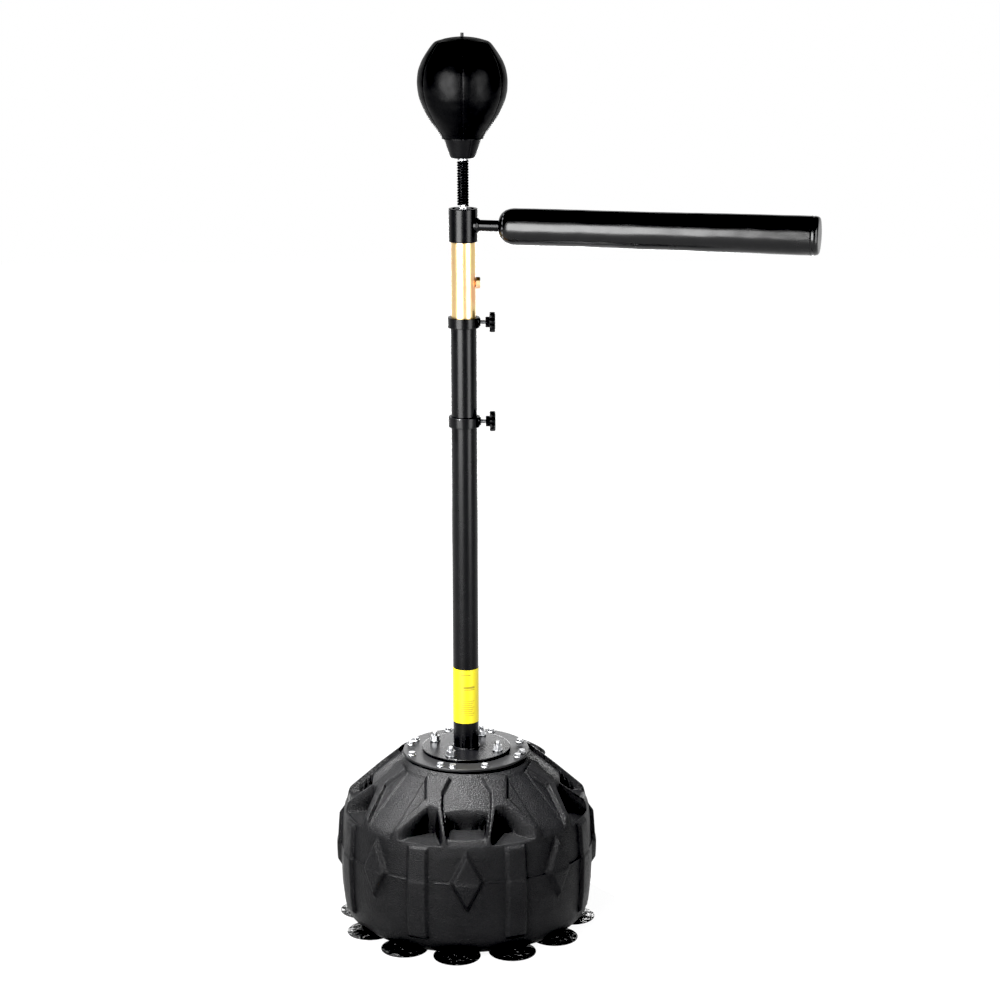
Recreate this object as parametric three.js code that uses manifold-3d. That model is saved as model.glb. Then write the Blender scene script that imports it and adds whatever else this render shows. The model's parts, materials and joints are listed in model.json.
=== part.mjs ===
// Free-standing reflex-ball stand with a spinning padded bar.
// Units are millimetres. +Z is up, the floor is z = 0 and the pole stands on the Z axis.
// The front of the tub faces -Y and the clamp knobs point along +X.
import * as THREE from "three";
import Module from "manifold-3d";

const wasm = await Module();
wasm.setup();

// Fits shared by the whole stand.
const REST_GAP = 0.3; // between a part and the neighbour it rests on or is cut for
const SLIDE_GAP = 0.3; // radial, between two telescoping tubes
const BEARING_GAP = 0.25; // radial, between bearing parts and their seats
const ROLL_GAP = 0.25; // between the balls and the grooves they run in

// Smoothness of round parts.
const SIDES_TUB = 32;
const SIDES_POLE = 24;
const SIDES_ROUND = 20;
const SIDES_CUP = 12;
const SIDES_BEARING = 20;
const SIDES_BOLT = 6;
const FULL_TURN = Math.PI * 2;

// Moulded ballast tub.
const TUB_HEIGHT = 343.7;
const TUB_RADIUS = 251; // of the wall at its widest
const TUB_WALL = 5;
const TUB_DECK_UNDER_SCREWS = 4; // solid left below the plate screws' holes
const TUB_FLOOR_HEIGHT = 12; // underside above the floor
const TUB_FOOT_INSET = 141; // from the wall to the flat pad in the middle of the underside
const TUB_FOOT_SLOPE = 12; // how far the pad's side runs out as it rises
const TUB_SHOULDER_HEIGHT = 97.7; // from the rim, where the wall turns in, up to the deck
const TUB_RIM_INSET = 14; // of the rim from the widest wall
const TUB_PART_LINE_DROP = 82; // of the part line below the rim
// How far the wall is drawn in, at each height above the tub's floor.
const TUB_WALL_CURVE = [[29, 0], [19, 5], [10.5, 14], [6, 28], [1.5, 70]];

// Raised mouldings on the tub.
const RIB_COUNT = 8;
const RIB_WIDTH = 42;
const RIB_PROUD = 6;
const RIB_BOTTOM = 47;
const RIB_TOP_DROP = 12; // below the rim
const DIAMOND_COUNT = 8;
const DIAMOND_HALF_WIDTH = 32;
const DIAMOND_TOP_DROP = 10; // below the rim
const DIAMOND_BOTTOM_DROP = 136; // below the rim
const DIAMOND_PROUD = 8;
const MOULDING_DEPTH = 16; // how far ribs and diamonds start inside the wall
const SHOULDER_PROUD = 8;
const SHOULDER_GROUPS = 4;
// Outlines on the front of the shoulder: across, and the share of the way from plate to wall.
const SHOULDER_ARM = [
  [80, -0.07], [80, 0.373], [58, 0.484], [44, 0.96], [36, 0.96], [46, 0.484], [46, 0.262], [30, 0.07],
];
const SHOULDER_FIN = [[80, 0.262], [148, 0.548], [142, 0.643], [68, 0.413]];
const MIDDLE_POCKET = [[40, 0.492], [34, 1.087], [-34, 1.087], [-40, 0.492]];
const SIDE_POCKET = [[60, 0.484], [73, 0.421], [137, 0.643], [150, 1.087], [45, 1.087]];
const POCKET_BACK = 0.484; // where the pockets' inner walls stand, as the same share
const POCKET_FLOOR_DROP = 1; // below the rim

// Water that fills the tub.
const WATER_GAP = 1; // kept clear of the tub's inside
const WATER_FILLER_DEPTH = 22; // left free under the filler cap

// Suction cups under the tub.
const CUP_COUNT = 12;
const CUP_RING_INSET = 40; // of the cups' middles from the wall
const CUP_SPACING = 17.2; // between two neighbouring cups
const CUP_TURN = -5.5; // degrees between a cup and the tub's front
const CUP_STUD_RADIUS = 7.6;
const CUP_STUD_LENGTH = 12;
const CUP_BOSS_WALL = 5;

// Filler neck on the tub's rear shoulder.
const FILLER_TURN = 135; // degrees from the front
const FILLER_HOLE_RADIUS = 22;
const FILLER_NECK_RADIUS = 33;
const FILLER_NECK_PROUD = 5;
const FILLER_CAP_RADIUS = 31;
const FILLER_CAP_HEIGHT = 9;
const FILLER_CAP_GRIPS = 8;
const FILLER_SKIRT_LENGTH = 12;
const FILLER_SKIRT_WALL = 3;
const FILLER_SEAL_THICKNESS = 2;

// Steel top plate and its fixings.
const PLATE_RADIUS = 125;
const PLATE_THICKNESS = 6;
const SCREW_RING_INSET = 12; // from the plate's edge
const SCREW_TURNS = [18.5, 63.5, 108.5, 153.5, 198.5, 243.5, 288.5, 333.5, 76.5, 166.5, 256.5, 346.5];
const SCREW_RADIUS = 3;
const SCREW_LENGTH = 20;
const SCREW_HEAD_FLATS = 10;
const SCREW_HEAD_HEIGHT = 4.5;
const SCREW_FLANGE_RADIUS = 6.8;
const SCREW_FLANGE_THICKNESS = 1.2;
const STUD_RING_INSET = 18.6; // from the foot disc's edge
const STUD_FIRST_TURN = 64;
const STUD_COUNT = 4;
const STUD_RADIUS = 5;
const STUD_PROUD = 24; // above the pole's foot disc
const STUD_NUT_FLATS = 16;
const STUD_NUT_HEIGHT = 9;
const STUD_WASHER_RADIUS = 10;
const STUD_WASHER_THICKNESS = 2;

// Pole: three telescoping tubes.
const TUBE_DIAMETER = 50; // lower and middle tubes
const TUBE_WALL = 1.2;
const INNER_TUBE_WALL = 1.5;
const FOOT_DISC_INSET = 37.4; // of the foot disc's edge from the plate's edge
const FOOT_DISC_THICKNESS = 6;
const FOOT_WELD_LEG = 4;
const LOWER_POLE_LENGTH = 668; // from the foot disc up
const MIDDLE_EXPOSED = 193; // between the lower and upper collars' tops
const SPIGOT_LENGTH = 280; // of the middle tube inside the lower pole
const SPIGOT_HELD = 20; // of the spigot inside the middle tube
const INNER_EXPOSED = 143.8; // between the upper collar and the hub
const INNER_HELD = 114; // of the inner tube inside the middle tube
const COLLAR_WALL = 5.5; // proud of the tube
const COLLAR_HEIGHT = 19.5;
const COLLAR_BOSS_RADIUS = 8;
const COLLAR_BOSS_PROUD = 7; // past the tube

// Clamp knobs.
const KNOB_SCREW_RADIUS = 4;
const KNOB_SCREW_LENGTH = 32;
const KNOB_STANDOFF = 9.5; // screw showing between the boss and the grip
const KNOB_HEAD_RADIUS = 19.5;
const KNOB_LOBES = 7;
const KNOB_LOBE_DEPTH = 4;
const KNOB_HEAD_THICKNESS = 11;
const KNOB_NECK_RADIUS = 10;
const KNOB_NECK_LENGTH = 7.5;
const KNOB_SKIN = 2; // plastic closing the outer end of the screw's hole

// Label wrapped on the lower pole.
const LABEL_RISE = 53.7; // above the foot disc
const LABEL_HEIGHT = 110;
const LABEL_THICKNESS = 0.4;
const LABEL_GAP = 0.1;
const LABEL_WRAP = 200; // degrees

// Spindle, cross bolt and spinning hub.
const CROSS_BOLT_DROP = 78; // below the top of the inner tube
const CROSS_BOLT_RADIUS = 6;
const CROSS_BOLT_FLATS = 19;
const CROSS_BOLT_HEAD = 8;
const SPINDLE_PLUG_LENGTH = 100;
const SPINDLE_SHOULDER_RADIUS = 13;
const SHAFT_RADIUS = 10;
const SPRING_STUD_LENGTH = 16;
const HUB_WALL = 6.15;
const HUB_HEIGHT = 63;
const HUB_CHAMFER = 1.5;
const HUB_CLEARANCE = 0.6; // between the inner tube's end and the turning hub
const BEARING_OUTER_RADIUS = 21;
const BEARING_WIDTH = 12;
const BEARING_INSET = 4.5; // from the hub's lower end
const BEARING_TOP_INSET = 8.5; // from the hub's upper end
const RACE_THICKNESS = 3;
const GROOVE_DEPTH = 1;
const BEARING_BALLS = 7;
const CAGE_THICKNESS = 2;
const SPINDLE_NUT_FLATS = 28;
const SPINDLE_NUT_HEIGHT = 9;

// Padded bar.
const BAR_TURN = -15; // degrees about Z from +X at rest
const BAR_REACH = 674; // tip from the pole axis
const BAR_PAD_START = 72;
const BAR_PAD_RADIUS_INNER = 34.5;
const BAR_PAD_RADIUS_TIP = 36;
const BAR_ROUND = 18; // rounding of the pad's inner end
const BAR_COVER_THICKNESS = 1.5;
const ROD_RADIUS = 10.65;
const ROD_WALL = 2;
const ROD_END_COVER = 40; // foam past the end of the rod
const ROD_WELD_LEG = 3.85; // of the weld round the rod at the hub

// Rebound spring, cup and ball.
const SPRING_WIRE_RADIUS = 2.3;
const SPRING_COIL_RADIUS = 8.7;
const SPRING_COIL_GAP = 0.6;
const SPRING_TURNS = 16;
const SPRING_STEPS = 8; // straight pieces in one turn
const SPRING_WIRE_SIDES = 5;
const BALL_STUD_RADIUS = 5;
const BALL_STUD_FLANGE_RADIUS = 10;
const BALL_STUD_FLANGE_HEIGHT = 3.5;
const BALL_STUD_NUT_FLATS = 16;
const BALL_STUD_NUT_HEIGHT = 8;
const CUP_CONE_HEIGHT = 50;
const CUP_CONE_BOTTOM_RADIUS = 23;
const CUP_CONE_TOP_RADIUS = 40;
const CUP_CONE_WALL = 3;
const CUP_CONE_FLOOR = 6;
const BALL_HEIGHT = 174; // from the top of the cup to the crown
const BALL_NECK_MARGIN = 7.5; // of the ball's neck past the top of the cup
const BALL_RADIUS = 84.9;
const BALL_HEM_LENGTH = 14;
const BALL_COVER_THICKNESS = 2;
const BLADDER_THICKNESS = 2.5;
const VALVE_RADIUS = 3;
const VALVE_BORE_RADIUS = 1;
const VALVE_PROUD = 7;

// Sizes that follow from the ones above.
const TUB_RIM_HEIGHT = TUB_HEIGHT - TUB_SHOULDER_HEIGHT;
const TUB_PART_LINE_HEIGHT = TUB_RIM_HEIGHT - TUB_PART_LINE_DROP;
const TUB_FOOT_RADIUS = TUB_RADIUS - TUB_FOOT_INSET;
const TUB_DECK_THICKNESS = SCREW_LENGTH - PLATE_THICKNESS + TUB_DECK_UNDER_SCREWS;
const RIB_TOP = TUB_RIM_HEIGHT - RIB_TOP_DROP;
const DIAMOND_TOP = TUB_RIM_HEIGHT - DIAMOND_TOP_DROP;
const DIAMOND_BOTTOM = TUB_RIM_HEIGHT - DIAMOND_BOTTOM_DROP;
const CUP_RING_RADIUS = TUB_RADIUS - CUP_RING_INSET;
const CUP_RADIUS = CUP_RING_RADIUS * Math.sin(Math.PI / CUP_COUNT) - CUP_SPACING / 2;
const SCREW_RING_RADIUS = PLATE_RADIUS - SCREW_RING_INSET;
const FOOT_DISC_RADIUS = PLATE_RADIUS - FOOT_DISC_INSET;
const STUD_RING_RADIUS = FOOT_DISC_RADIUS - STUD_RING_INSET;
const TUBE_RADIUS = TUBE_DIAMETER / 2;
const COLLAR_RADIUS = TUBE_RADIUS + COLLAR_WALL;
const COLLAR_BOSS_REACH = TUBE_RADIUS + COLLAR_BOSS_PROUD;
const INNER_TUBE_RADIUS = TUBE_RADIUS - TUBE_WALL - SLIDE_GAP;
const PLATE_BOTTOM = TUB_HEIGHT + REST_GAP;
const PLATE_TOP = PLATE_BOTTOM + PLATE_THICKNESS;
const DISC_BOTTOM = PLATE_TOP + REST_GAP;
const DISC_TOP = DISC_BOTTOM + FOOT_DISC_THICKNESS;
const LABEL_BOTTOM = DISC_TOP + LABEL_RISE;
const LOWER_TOP = DISC_TOP + LOWER_POLE_LENGTH;
const MIDDLE_TOP = LOWER_TOP + MIDDLE_EXPOSED;
const INNER_TOP = MIDDLE_TOP + INNER_EXPOSED;
const INNER_BOTTOM = MIDDLE_TOP - INNER_HELD;
const CROSS_BOLT_Z = INNER_TOP - CROSS_BOLT_DROP;
const PLUG_RADIUS = INNER_TUBE_RADIUS - INNER_TUBE_WALL - REST_GAP;
const HUB_RADIUS = BEARING_OUTER_RADIUS + BEARING_GAP + HUB_WALL;
const HUB_BOTTOM = INNER_TOP + HUB_CLEARANCE;
const HUB_TOP = HUB_BOTTOM + HUB_HEIGHT;
const ARM_Z = HUB_BOTTOM + HUB_HEIGHT / 2;
const LOWER_BEARING_Z = HUB_BOTTOM + BEARING_INSET;
const UPPER_BEARING_Z = HUB_TOP - BEARING_TOP_INSET - BEARING_WIDTH;
const INNER_RACE_BORE = SHAFT_RADIUS + BEARING_GAP;
const INNER_RACE_RADIUS = INNER_RACE_BORE + RACE_THICKNESS;
const OUTER_RACE_BORE = BEARING_OUTER_RADIUS - RACE_THICKNESS;
const BALL_TRACK_RADIUS = (INNER_RACE_RADIUS + OUTER_RACE_BORE) / 2;
const BEARING_BALL_RADIUS = (OUTER_RACE_BORE - INNER_RACE_RADIUS) / 2 + GROOVE_DEPTH - 2 * ROLL_GAP;
const GROOVE_HALF_WIDTH = BEARING_BALL_RADIUS * 0.82;
const SPINDLE_NUT_Z = UPPER_BEARING_Z + BEARING_WIDTH + REST_GAP;
const SPINDLE_SEAT_Z = SPINDLE_NUT_Z + SPINDLE_NUT_HEIGHT + 2;
const ROD_WELD_RADIUS = ROD_RADIUS + ROD_WELD_LEG;
const SPRING_PITCH = 2 * SPRING_WIRE_RADIUS + SPRING_COIL_GAP;
const SPRING_BOTTOM = SPINDLE_SEAT_Z + REST_GAP;
const SPRING_TOP = SPRING_BOTTOM + SPRING_TURNS * SPRING_PITCH + 2 * SPRING_WIRE_RADIUS;
const SPRING_INSIDE = SPRING_COIL_RADIUS * Math.cos(Math.PI / SPRING_STEPS) - SPRING_WIRE_RADIUS;
const SPRING_STUD_RADIUS = SPRING_INSIDE - REST_GAP;
const BALL_STUD_Z = SPRING_TOP + REST_GAP;
const CUP_CONE_BOTTOM = BALL_STUD_Z + BALL_STUD_FLANGE_HEIGHT + REST_GAP;
const CUP_CONE_TOP = CUP_CONE_BOTTOM + CUP_CONE_HEIGHT;
const BALL_TOP = CUP_CONE_TOP + BALL_HEIGHT;
const BALL_NECK_RADIUS = CUP_CONE_TOP_RADIUS + BALL_NECK_MARGIN;
const FILLER_SLOPE = Math.atan2(TUB_HEIGHT - TUB_RIM_HEIGHT, TUB_RADIUS - PLATE_RADIUS);

const STYLES = {
  polyethylene: { color: 0x1b1b1c, roughness: 0.62, metalness: 0 },
  water: { color: 0x7fa3b5, roughness: 0.1, metalness: 0 },
  softPlastic: { color: 0x101011, roughness: 0.35, metalness: 0 },
  sealRubber: { color: 0x1a1a1a, roughness: 0.8, metalness: 0 },
  blackPaint: { color: 0x0d0d0e, roughness: 0.3, metalness: 0.2 },
  zinc: { color: 0xc9cbcc, roughness: 0.3, metalness: 1 },
  yellowZinc: { color: 0xe0b65c, roughness: 0.25, metalness: 1 },
  steel: { color: 0x8f9294, roughness: 0.25, metalness: 1 },
  label: { color: 0xf5e10a, roughness: 0.5, metalness: 0 },
  hardPlastic: { color: 0x141415, roughness: 0.4, metalness: 0 },
  foam: { color: 0x7d7f80, roughness: 0.95, metalness: 0 },
  vinyl: { color: 0x0b0b0c, roughness: 0.25, metalness: 0 },
  bladder: { color: 0x2a2a2b, roughness: 0.6, metalness: 0 },
};

const radians = (degrees) => (degrees * Math.PI) / 180;

// Joins shared corners of a geometry and makes it a solid that faces outwards.
function solidFrom(geometry) {
  const position = geometry.getAttribute("position");
  const order = geometry.index ? Array.from(geometry.index.array) : [...Array(position.count).keys()];
  const known = new Map();
  const corners = [];
  const joined = [];
  for (let i = 0; i < position.count; i++) {
    const point = [position.getX(i), position.getY(i), position.getZ(i)];
    const key = point.map((v) => Math.round(v * 1e4)).join("/");
    if (!known.has(key)) {
      known.set(key, corners.length / 3);
      corners.push(...point);
    }
    joined.push(known.get(key));
  }
  const triangles = [];
  for (let i = 0; i < order.length; i += 3) {
    const [a, b, c] = [joined[order[i]], joined[order[i + 1]], joined[order[i + 2]]];
    if (a !== b && b !== c && c !== a) triangles.push(a, b, c);
  }
  if (signedVolume(corners, triangles) < 0) triangles.reverse();
  return new wasm.Manifold(
    new wasm.Mesh({
      numProp: 3,
      vertProperties: new Float32Array(corners),
      triVerts: new Uint32Array(triangles),
    })
  );
}

function signedVolume(corners, triangles) {
  const at = (i) => new THREE.Vector3(corners[3 * i], corners[3 * i + 1], corners[3 * i + 2]);
  let sum = 0;
  for (let i = 0; i < triangles.length; i += 3) {
    sum += at(triangles[i]).dot(at(triangles[i + 1]).cross(at(triangles[i + 2])));
  }
  return sum;
}

function placed(solid, { turn = [0, 0, 0], move = [0, 0, 0] }) {
  return solid.rotate(turn).translate(move);
}

// A profile of [radius, height] pairs turned about the Z axis.
function turned(profile, sides) {
  const closed = profile[0][0] > 0 ? [...profile, profile[0]] : profile;
  const points = closed.map(([r, z]) => new THREE.Vector2(r, z));
  return solidFrom(new THREE.LatheGeometry(points, sides).rotateX(Math.PI / 2));
}

function disc(radius, bottom, top, sides = SIDES_ROUND) {
  return turned([[0, bottom], [radius, bottom], [radius, top], [0, top]], sides);
}

function ring(inner, outer, bottom, top, sides = SIDES_ROUND) {
  return turned([[inner, bottom], [outer, bottom], [outer, top], [inner, top]], sides);
}

// A flat outline of [x, y] pairs raised from one height to another.
function prism(outline, bottom, top) {
  const shape = new THREE.Shape(outline.map(([x, y]) => new THREE.Vector2(x, y)));
  const geometry = new THREE.ExtrudeGeometry(shape, { depth: top - bottom, bevelEnabled: false });
  return solidFrom(geometry).translate([0, 0, bottom]);
}

function regularOutline(sides, radius) {
  const outline = [];
  for (let i = 0; i < sides; i++) {
    const angle = (i * FULL_TURN) / sides;
    outline.push([radius * Math.cos(angle), radius * Math.sin(angle)]);
  }
  return outline;
}

function hexagon(flats, bottom, top) {
  return prism(regularOutline(6, flats / Math.sqrt(3)), bottom, top);
}

// Points along +X from a start to an end, for parts that lie across the pole.
function along(profile, sides = SIDES_ROUND) {
  return turned(profile, sides).rotate([0, 90, 0]);
}

function rodAlongX(radius, start, end, sides = SIDES_ROUND) {
  return along([[0, start], [radius, start], [radius, end], [0, end]], sides);
}

function joinAll(solids) {
  return solids.reduce((whole, solid) => whole.add(solid));
}

function cutAll(solid, cutters) {
  return cutters.reduce((rest, cutter) => rest.subtract(cutter), solid);
}

function around(count, firstTurn, make) {
  const made = [];
  for (let i = 0; i < count; i++) made.push(make(firstTurn + (i * 360) / count));
  return made;
}

// ---- Ballast tub ----

function tubOutside() {
  const wide = TUB_RADIUS;
  return turned(
    [
      [0, 0],
      [TUB_FOOT_RADIUS, 0],
      [TUB_FOOT_RADIUS + TUB_FOOT_SLOPE, TUB_FLOOR_HEIGHT],
      ...TUB_WALL_CURVE.map(([drawnIn, rise]) => [wide - drawnIn, TUB_FLOOR_HEIGHT + rise]),
      [wide, TUB_PART_LINE_HEIGHT],
      [wide - 1.5, TUB_PART_LINE_HEIGHT + 2],
      [wide - 5, TUB_RIM_HEIGHT - 30],
      [wide - 8, TUB_RIM_HEIGHT - 10],
      [wide - TUB_RIM_INSET, TUB_RIM_HEIGHT],
      [PLATE_RADIUS + 1, TUB_HEIGHT - 3],
      [PLATE_RADIUS - 2, TUB_HEIGHT],
      [0, TUB_HEIGHT],
    ],
    SIDES_TUB
  );
}

// The hollow of the tub, drawn in by a gap; foot is how far its floor ring is lifted.
function tubHollow(gap, foot) {
  const floor = TUB_FLOOR_HEIGHT + TUB_WALL + gap;
  const deck = TUB_HEIGHT - TUB_DECK_THICKNESS - gap;
  const wide = TUB_RADIUS - TUB_WALL - 2 - gap;
  return turned(
    [
      [0, floor],
      [CUP_RING_RADIUS - 2 * CUP_STUD_RADIUS - CUP_BOSS_WALL, floor],
      [CUP_RING_RADIUS - 2 * CUP_STUD_RADIUS, floor + foot],
      [wide - 27, floor + foot],
      [wide - 9, Math.max(floor + foot, TUB_FLOOR_HEIGHT + 22)],
      [wide, TUB_FLOOR_HEIGHT + 70],
      [wide - 2, TUB_RIM_HEIGHT - 30],
      [wide - 14, TUB_RIM_HEIGHT - 10],
      [shoulderAt(POCKET_BACK) - 2 - gap, TUB_RIM_HEIGHT - TUB_WALL - gap],
      [SCREW_RING_RADIUS + 5 - gap, deck],
      [0, deck],
    ],
    SIDES_TUB
  );
}

function waterBallast() {
  const lift = CUP_STUD_LENGTH + CUP_BOSS_WALL - TUB_WALL + 2 * WATER_GAP;
  const under = fillerPlace(disc(FILLER_NECK_RADIUS, -WATER_FILLER_DEPTH, FILLER_NECK_RADIUS));
  return tubHollow(WATER_GAP, lift).subtract(under);
}

// The shoulder cone lifted by a height: what the raised mouldings follow.
function shoulderLifted(lift) {
  const outer = TUB_RADIUS - 12;
  const inner = PLATE_RADIUS + 3;
  const fall = Math.tan(FILLER_SLOPE);
  return turned(
    [
      [inner, TUB_RIM_HEIGHT - 12],
      [outer, TUB_RIM_HEIGHT - 12],
      [outer, TUB_RIM_HEIGHT + lift],
      [inner, TUB_RIM_HEIGHT + lift + (outer - inner) * fall],
    ],
    SIDES_TUB
  );
}

// Distance out from the pole axis at a share of the way from the plate to the wall.
function shoulderAt(share) {
  return PLATE_RADIUS + (TUB_RADIUS - PLATE_RADIUS) * share;
}

function onShoulder(outline, bottom) {
  return prism(outline.map(([across, share]) => [across, -shoulderAt(share)]), bottom, TUB_HEIGHT);
}

function shoulderPads() {
  const bottom = TUB_RIM_HEIGHT - 12;
  const one = onShoulder(SHOULDER_ARM, bottom).add(onShoulder(SHOULDER_FIN, bottom));
  return one.add(one.mirror([1, 0, 0])).intersect(shoulderLifted(SHOULDER_PROUD));
}

function shoulderPockets() {
  const bottom = TUB_RIM_HEIGHT - POCKET_FLOOR_DROP;
  const side = onShoulder(SIDE_POCKET, bottom);
  return onShoulder(MIDDLE_POCKET, bottom).add(side).add(side.mirror([1, 0, 0]));
}

function tubRib() {
  const half = RIB_WIDTH / 2;
  const reach = TUB_RADIUS + RIB_PROUD;
  const side = [
    [TUB_RADIUS - MOULDING_DEPTH, RIB_BOTTOM],
    [reach - 8, RIB_BOTTOM],
    [reach - 2, RIB_BOTTOM + 30],
    [reach, TUB_PART_LINE_HEIGHT],
    [reach - 7, RIB_TOP],
    [TUB_RADIUS - MOULDING_DEPTH, RIB_TOP],
  ];
  return prism(side, -half, half).rotate([90, 0, 0]).rotate([0, 0, -90]);
}

function tubDiamond() {
  const middle = (DIAMOND_TOP + DIAMOND_BOTTOM) / 2;
  const outline = (scale) => [
    [0, middle + (DIAMOND_TOP - middle) * scale],
    [DIAMOND_HALF_WIDTH * scale, TUB_PART_LINE_HEIGHT],
    [0, middle + (DIAMOND_BOTTOM - middle) * scale],
    [-DIAMOND_HALF_WIDTH * scale, TUB_PART_LINE_HEIGHT],
  ];
  const foot = outline(1).map(([x, z]) => new THREE.Vector3(x, MOULDING_DEPTH - TUB_RADIUS, z));
  const ledge = outline(1).map(([x, z]) => new THREE.Vector3(x, -(TUB_RADIUS + 2), z));
  const face = outline(0.8).map(([x, z]) => new THREE.Vector3(x, -(TUB_RADIUS + DIAMOND_PROUD), z));
  return loft([foot, ledge, face]);
}

// Joins loops with the same number of corners into one closed solid.
function loft(loops) {
  const count = loops[0].length;
  const corners = loops.flat();
  const index = [];
  for (let level = 0; level < loops.length - 1; level++) {
    for (let i = 0; i < count; i++) {
      const a = level * count + i;
      const b = level * count + ((i + 1) % count);
      index.push(a, b, b + count, a, b + count, a + count);
    }
  }
  const last = (loops.length - 1) * count;
  for (let i = 1; i < count - 1; i++) {
    index.push(0, i + 1, i, last, last + i, last + i + 1);
  }
  return solidFrom(new THREE.BufferGeometry().setFromPoints(corners).setIndex(index));
}

function cupPlace(turn, solid) {
  return solid.translate([0, -CUP_RING_RADIUS, 0]).rotate([0, 0, turn]);
}

function cupBoss() {
  const top = TUB_FLOOR_HEIGHT + CUP_STUD_LENGTH + CUP_BOSS_WALL;
  return disc(CUP_STUD_RADIUS + CUP_BOSS_WALL, TUB_FLOOR_HEIGHT, top, SIDES_BOLT);
}

function cupSocket() {
  const top = TUB_FLOOR_HEIGHT + CUP_STUD_LENGTH + REST_GAP;
  return disc(CUP_STUD_RADIUS + REST_GAP, 0, top, SIDES_CUP);
}

// The filler's own frame: z = 0 on the shoulder, +Z square out of it.
function fillerPlace(solid) {
  const middle = (TUB_RADIUS - TUB_RIM_INSET + PLATE_RADIUS) / 2;
  const height = (TUB_HEIGHT + TUB_RIM_HEIGHT) / 2;
  const tilted = solid.rotate([(FILLER_SLOPE * 180) / Math.PI, 0, 0]);
  return tilted.translate([0, -middle, height]).rotate([0, 0, FILLER_TURN]);
}

function baseTub() {
  const step = 360 / RIB_COUNT;
  const ribs = around(RIB_COUNT, step / 2, (turn) => tubRib().rotate([0, 0, turn]));
  const diamonds = around(DIAMOND_COUNT, 0, (turn) => tubDiamond().rotate([0, 0, turn]));
  const pads = around(SHOULDER_GROUPS, 0, (turn) => shoulderPads().rotate([0, 0, turn]));
  const pockets = around(SHOULDER_GROUPS, 0, (turn) => shoulderPockets().rotate([0, 0, turn]));
  const bosses = around(CUP_COUNT, CUP_TURN, (turn) => cupPlace(turn, cupBoss()));
  const sockets = around(CUP_COUNT, CUP_TURN, (turn) => cupPlace(turn, cupSocket()));
  const neck = fillerPlace(disc(FILLER_NECK_RADIUS, -TUB_WALL, FILLER_NECK_PROUD));
  const mouth = fillerPlace(disc(FILLER_HOLE_RADIUS, -60, FILLER_NECK_PROUD + 30));
  const screwHoles = SCREW_TURNS.map((turn) => screwPlace(turn, screwHole()));
  const skin = cutAll(tubOutside(), pockets).add(joinAll([...pads, ...ribs, ...diamonds]));
  const shell = skin.subtract(tubHollow(0, 0)).add(neck).add(joinAll(bosses));
  return cutAll(shell, [mouth, ...sockets, ...screwHoles]);
}

function fillerSeal() {
  const bottom = FILLER_NECK_PROUD + REST_GAP;
  const inner = FILLER_HOLE_RADIUS + 1;
  return fillerPlace(ring(inner, FILLER_CAP_RADIUS - 3, bottom, bottom + FILLER_SEAL_THICKNESS));
}

function fillerCap() {
  const bottom = FILLER_NECK_PROUD + FILLER_SEAL_THICKNESS + 2 * REST_GAP;
  const skirt = FILLER_HOLE_RADIUS - REST_GAP;
  const cap = turned(
    [
      [0, bottom],
      [skirt - FILLER_SKIRT_WALL, bottom],
      [skirt - FILLER_SKIRT_WALL, bottom - FILLER_SKIRT_LENGTH],
      [skirt, bottom - FILLER_SKIRT_LENGTH],
      [skirt, bottom],
      [FILLER_CAP_RADIUS, bottom],
      [FILLER_CAP_RADIUS, bottom + FILLER_CAP_HEIGHT - 2],
      [FILLER_CAP_RADIUS - 2, bottom + FILLER_CAP_HEIGHT],
      [0, bottom + FILLER_CAP_HEIGHT],
    ],
    SIDES_ROUND
  );
  const notches = around(FILLER_CAP_GRIPS, 0, (turn) =>
    disc(3, bottom - 1, bottom + FILLER_CAP_HEIGHT + 1, 6)
      .translate([FILLER_CAP_RADIUS + 1.5, 0, 0])
      .rotate([0, 0, turn])
  );
  return fillerPlace(cutAll(cap, notches));
}

function suctionCup(turn) {
  const seat = TUB_FLOOR_HEIGHT - REST_GAP;
  const cup = turned(
    [
      [0, 6],
      [CUP_RADIUS - 4, 0],
      [CUP_RADIUS, 0],
      [CUP_RADIUS, 1.4],
      [CUP_STUD_RADIUS + 5, seat - 1],
      [CUP_STUD_RADIUS, seat],
      [CUP_STUD_RADIUS, TUB_FLOOR_HEIGHT + CUP_STUD_LENGTH],
      [0, TUB_FLOOR_HEIGHT + CUP_STUD_LENGTH],
    ],
    SIDES_CUP
  );
  return cupPlace(turn, cup);
}

// ---- Top plate and fixings ----

function screwPlace(turn, solid) {
  const angle = radians(turn);
  const move = [SCREW_RING_RADIUS * Math.cos(angle), SCREW_RING_RADIUS * Math.sin(angle), 0];
  return placed(solid, { turn: [0, 0, turn], move });
}

function screwHole() {
  const depth = PLATE_TOP - SCREW_LENGTH - 2;
  return disc(SCREW_RADIUS + REST_GAP, depth, PLATE_TOP + 1, SIDES_BOLT);
}

function plateScrew(turn) {
  const seat = PLATE_TOP + REST_GAP;
  const flangeTop = seat + SCREW_FLANGE_THICKNESS;
  const shank = disc(SCREW_RADIUS, PLATE_TOP - SCREW_LENGTH, seat + 1, SIDES_BOLT);
  const flange = disc(SCREW_FLANGE_RADIUS, seat, flangeTop, 10);
  const head = hexagon(SCREW_HEAD_FLATS, seat + 0.5, flangeTop + SCREW_HEAD_HEIGHT);
  return screwPlace(turn, joinAll([shank, flange, head]));
}

function studPlace(turn, solid) {
  const angle = radians(turn);
  const move = [STUD_RING_RADIUS * Math.cos(angle), STUD_RING_RADIUS * Math.sin(angle), 0];
  return placed(solid, { turn: [0, 0, turn], move });
}

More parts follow.
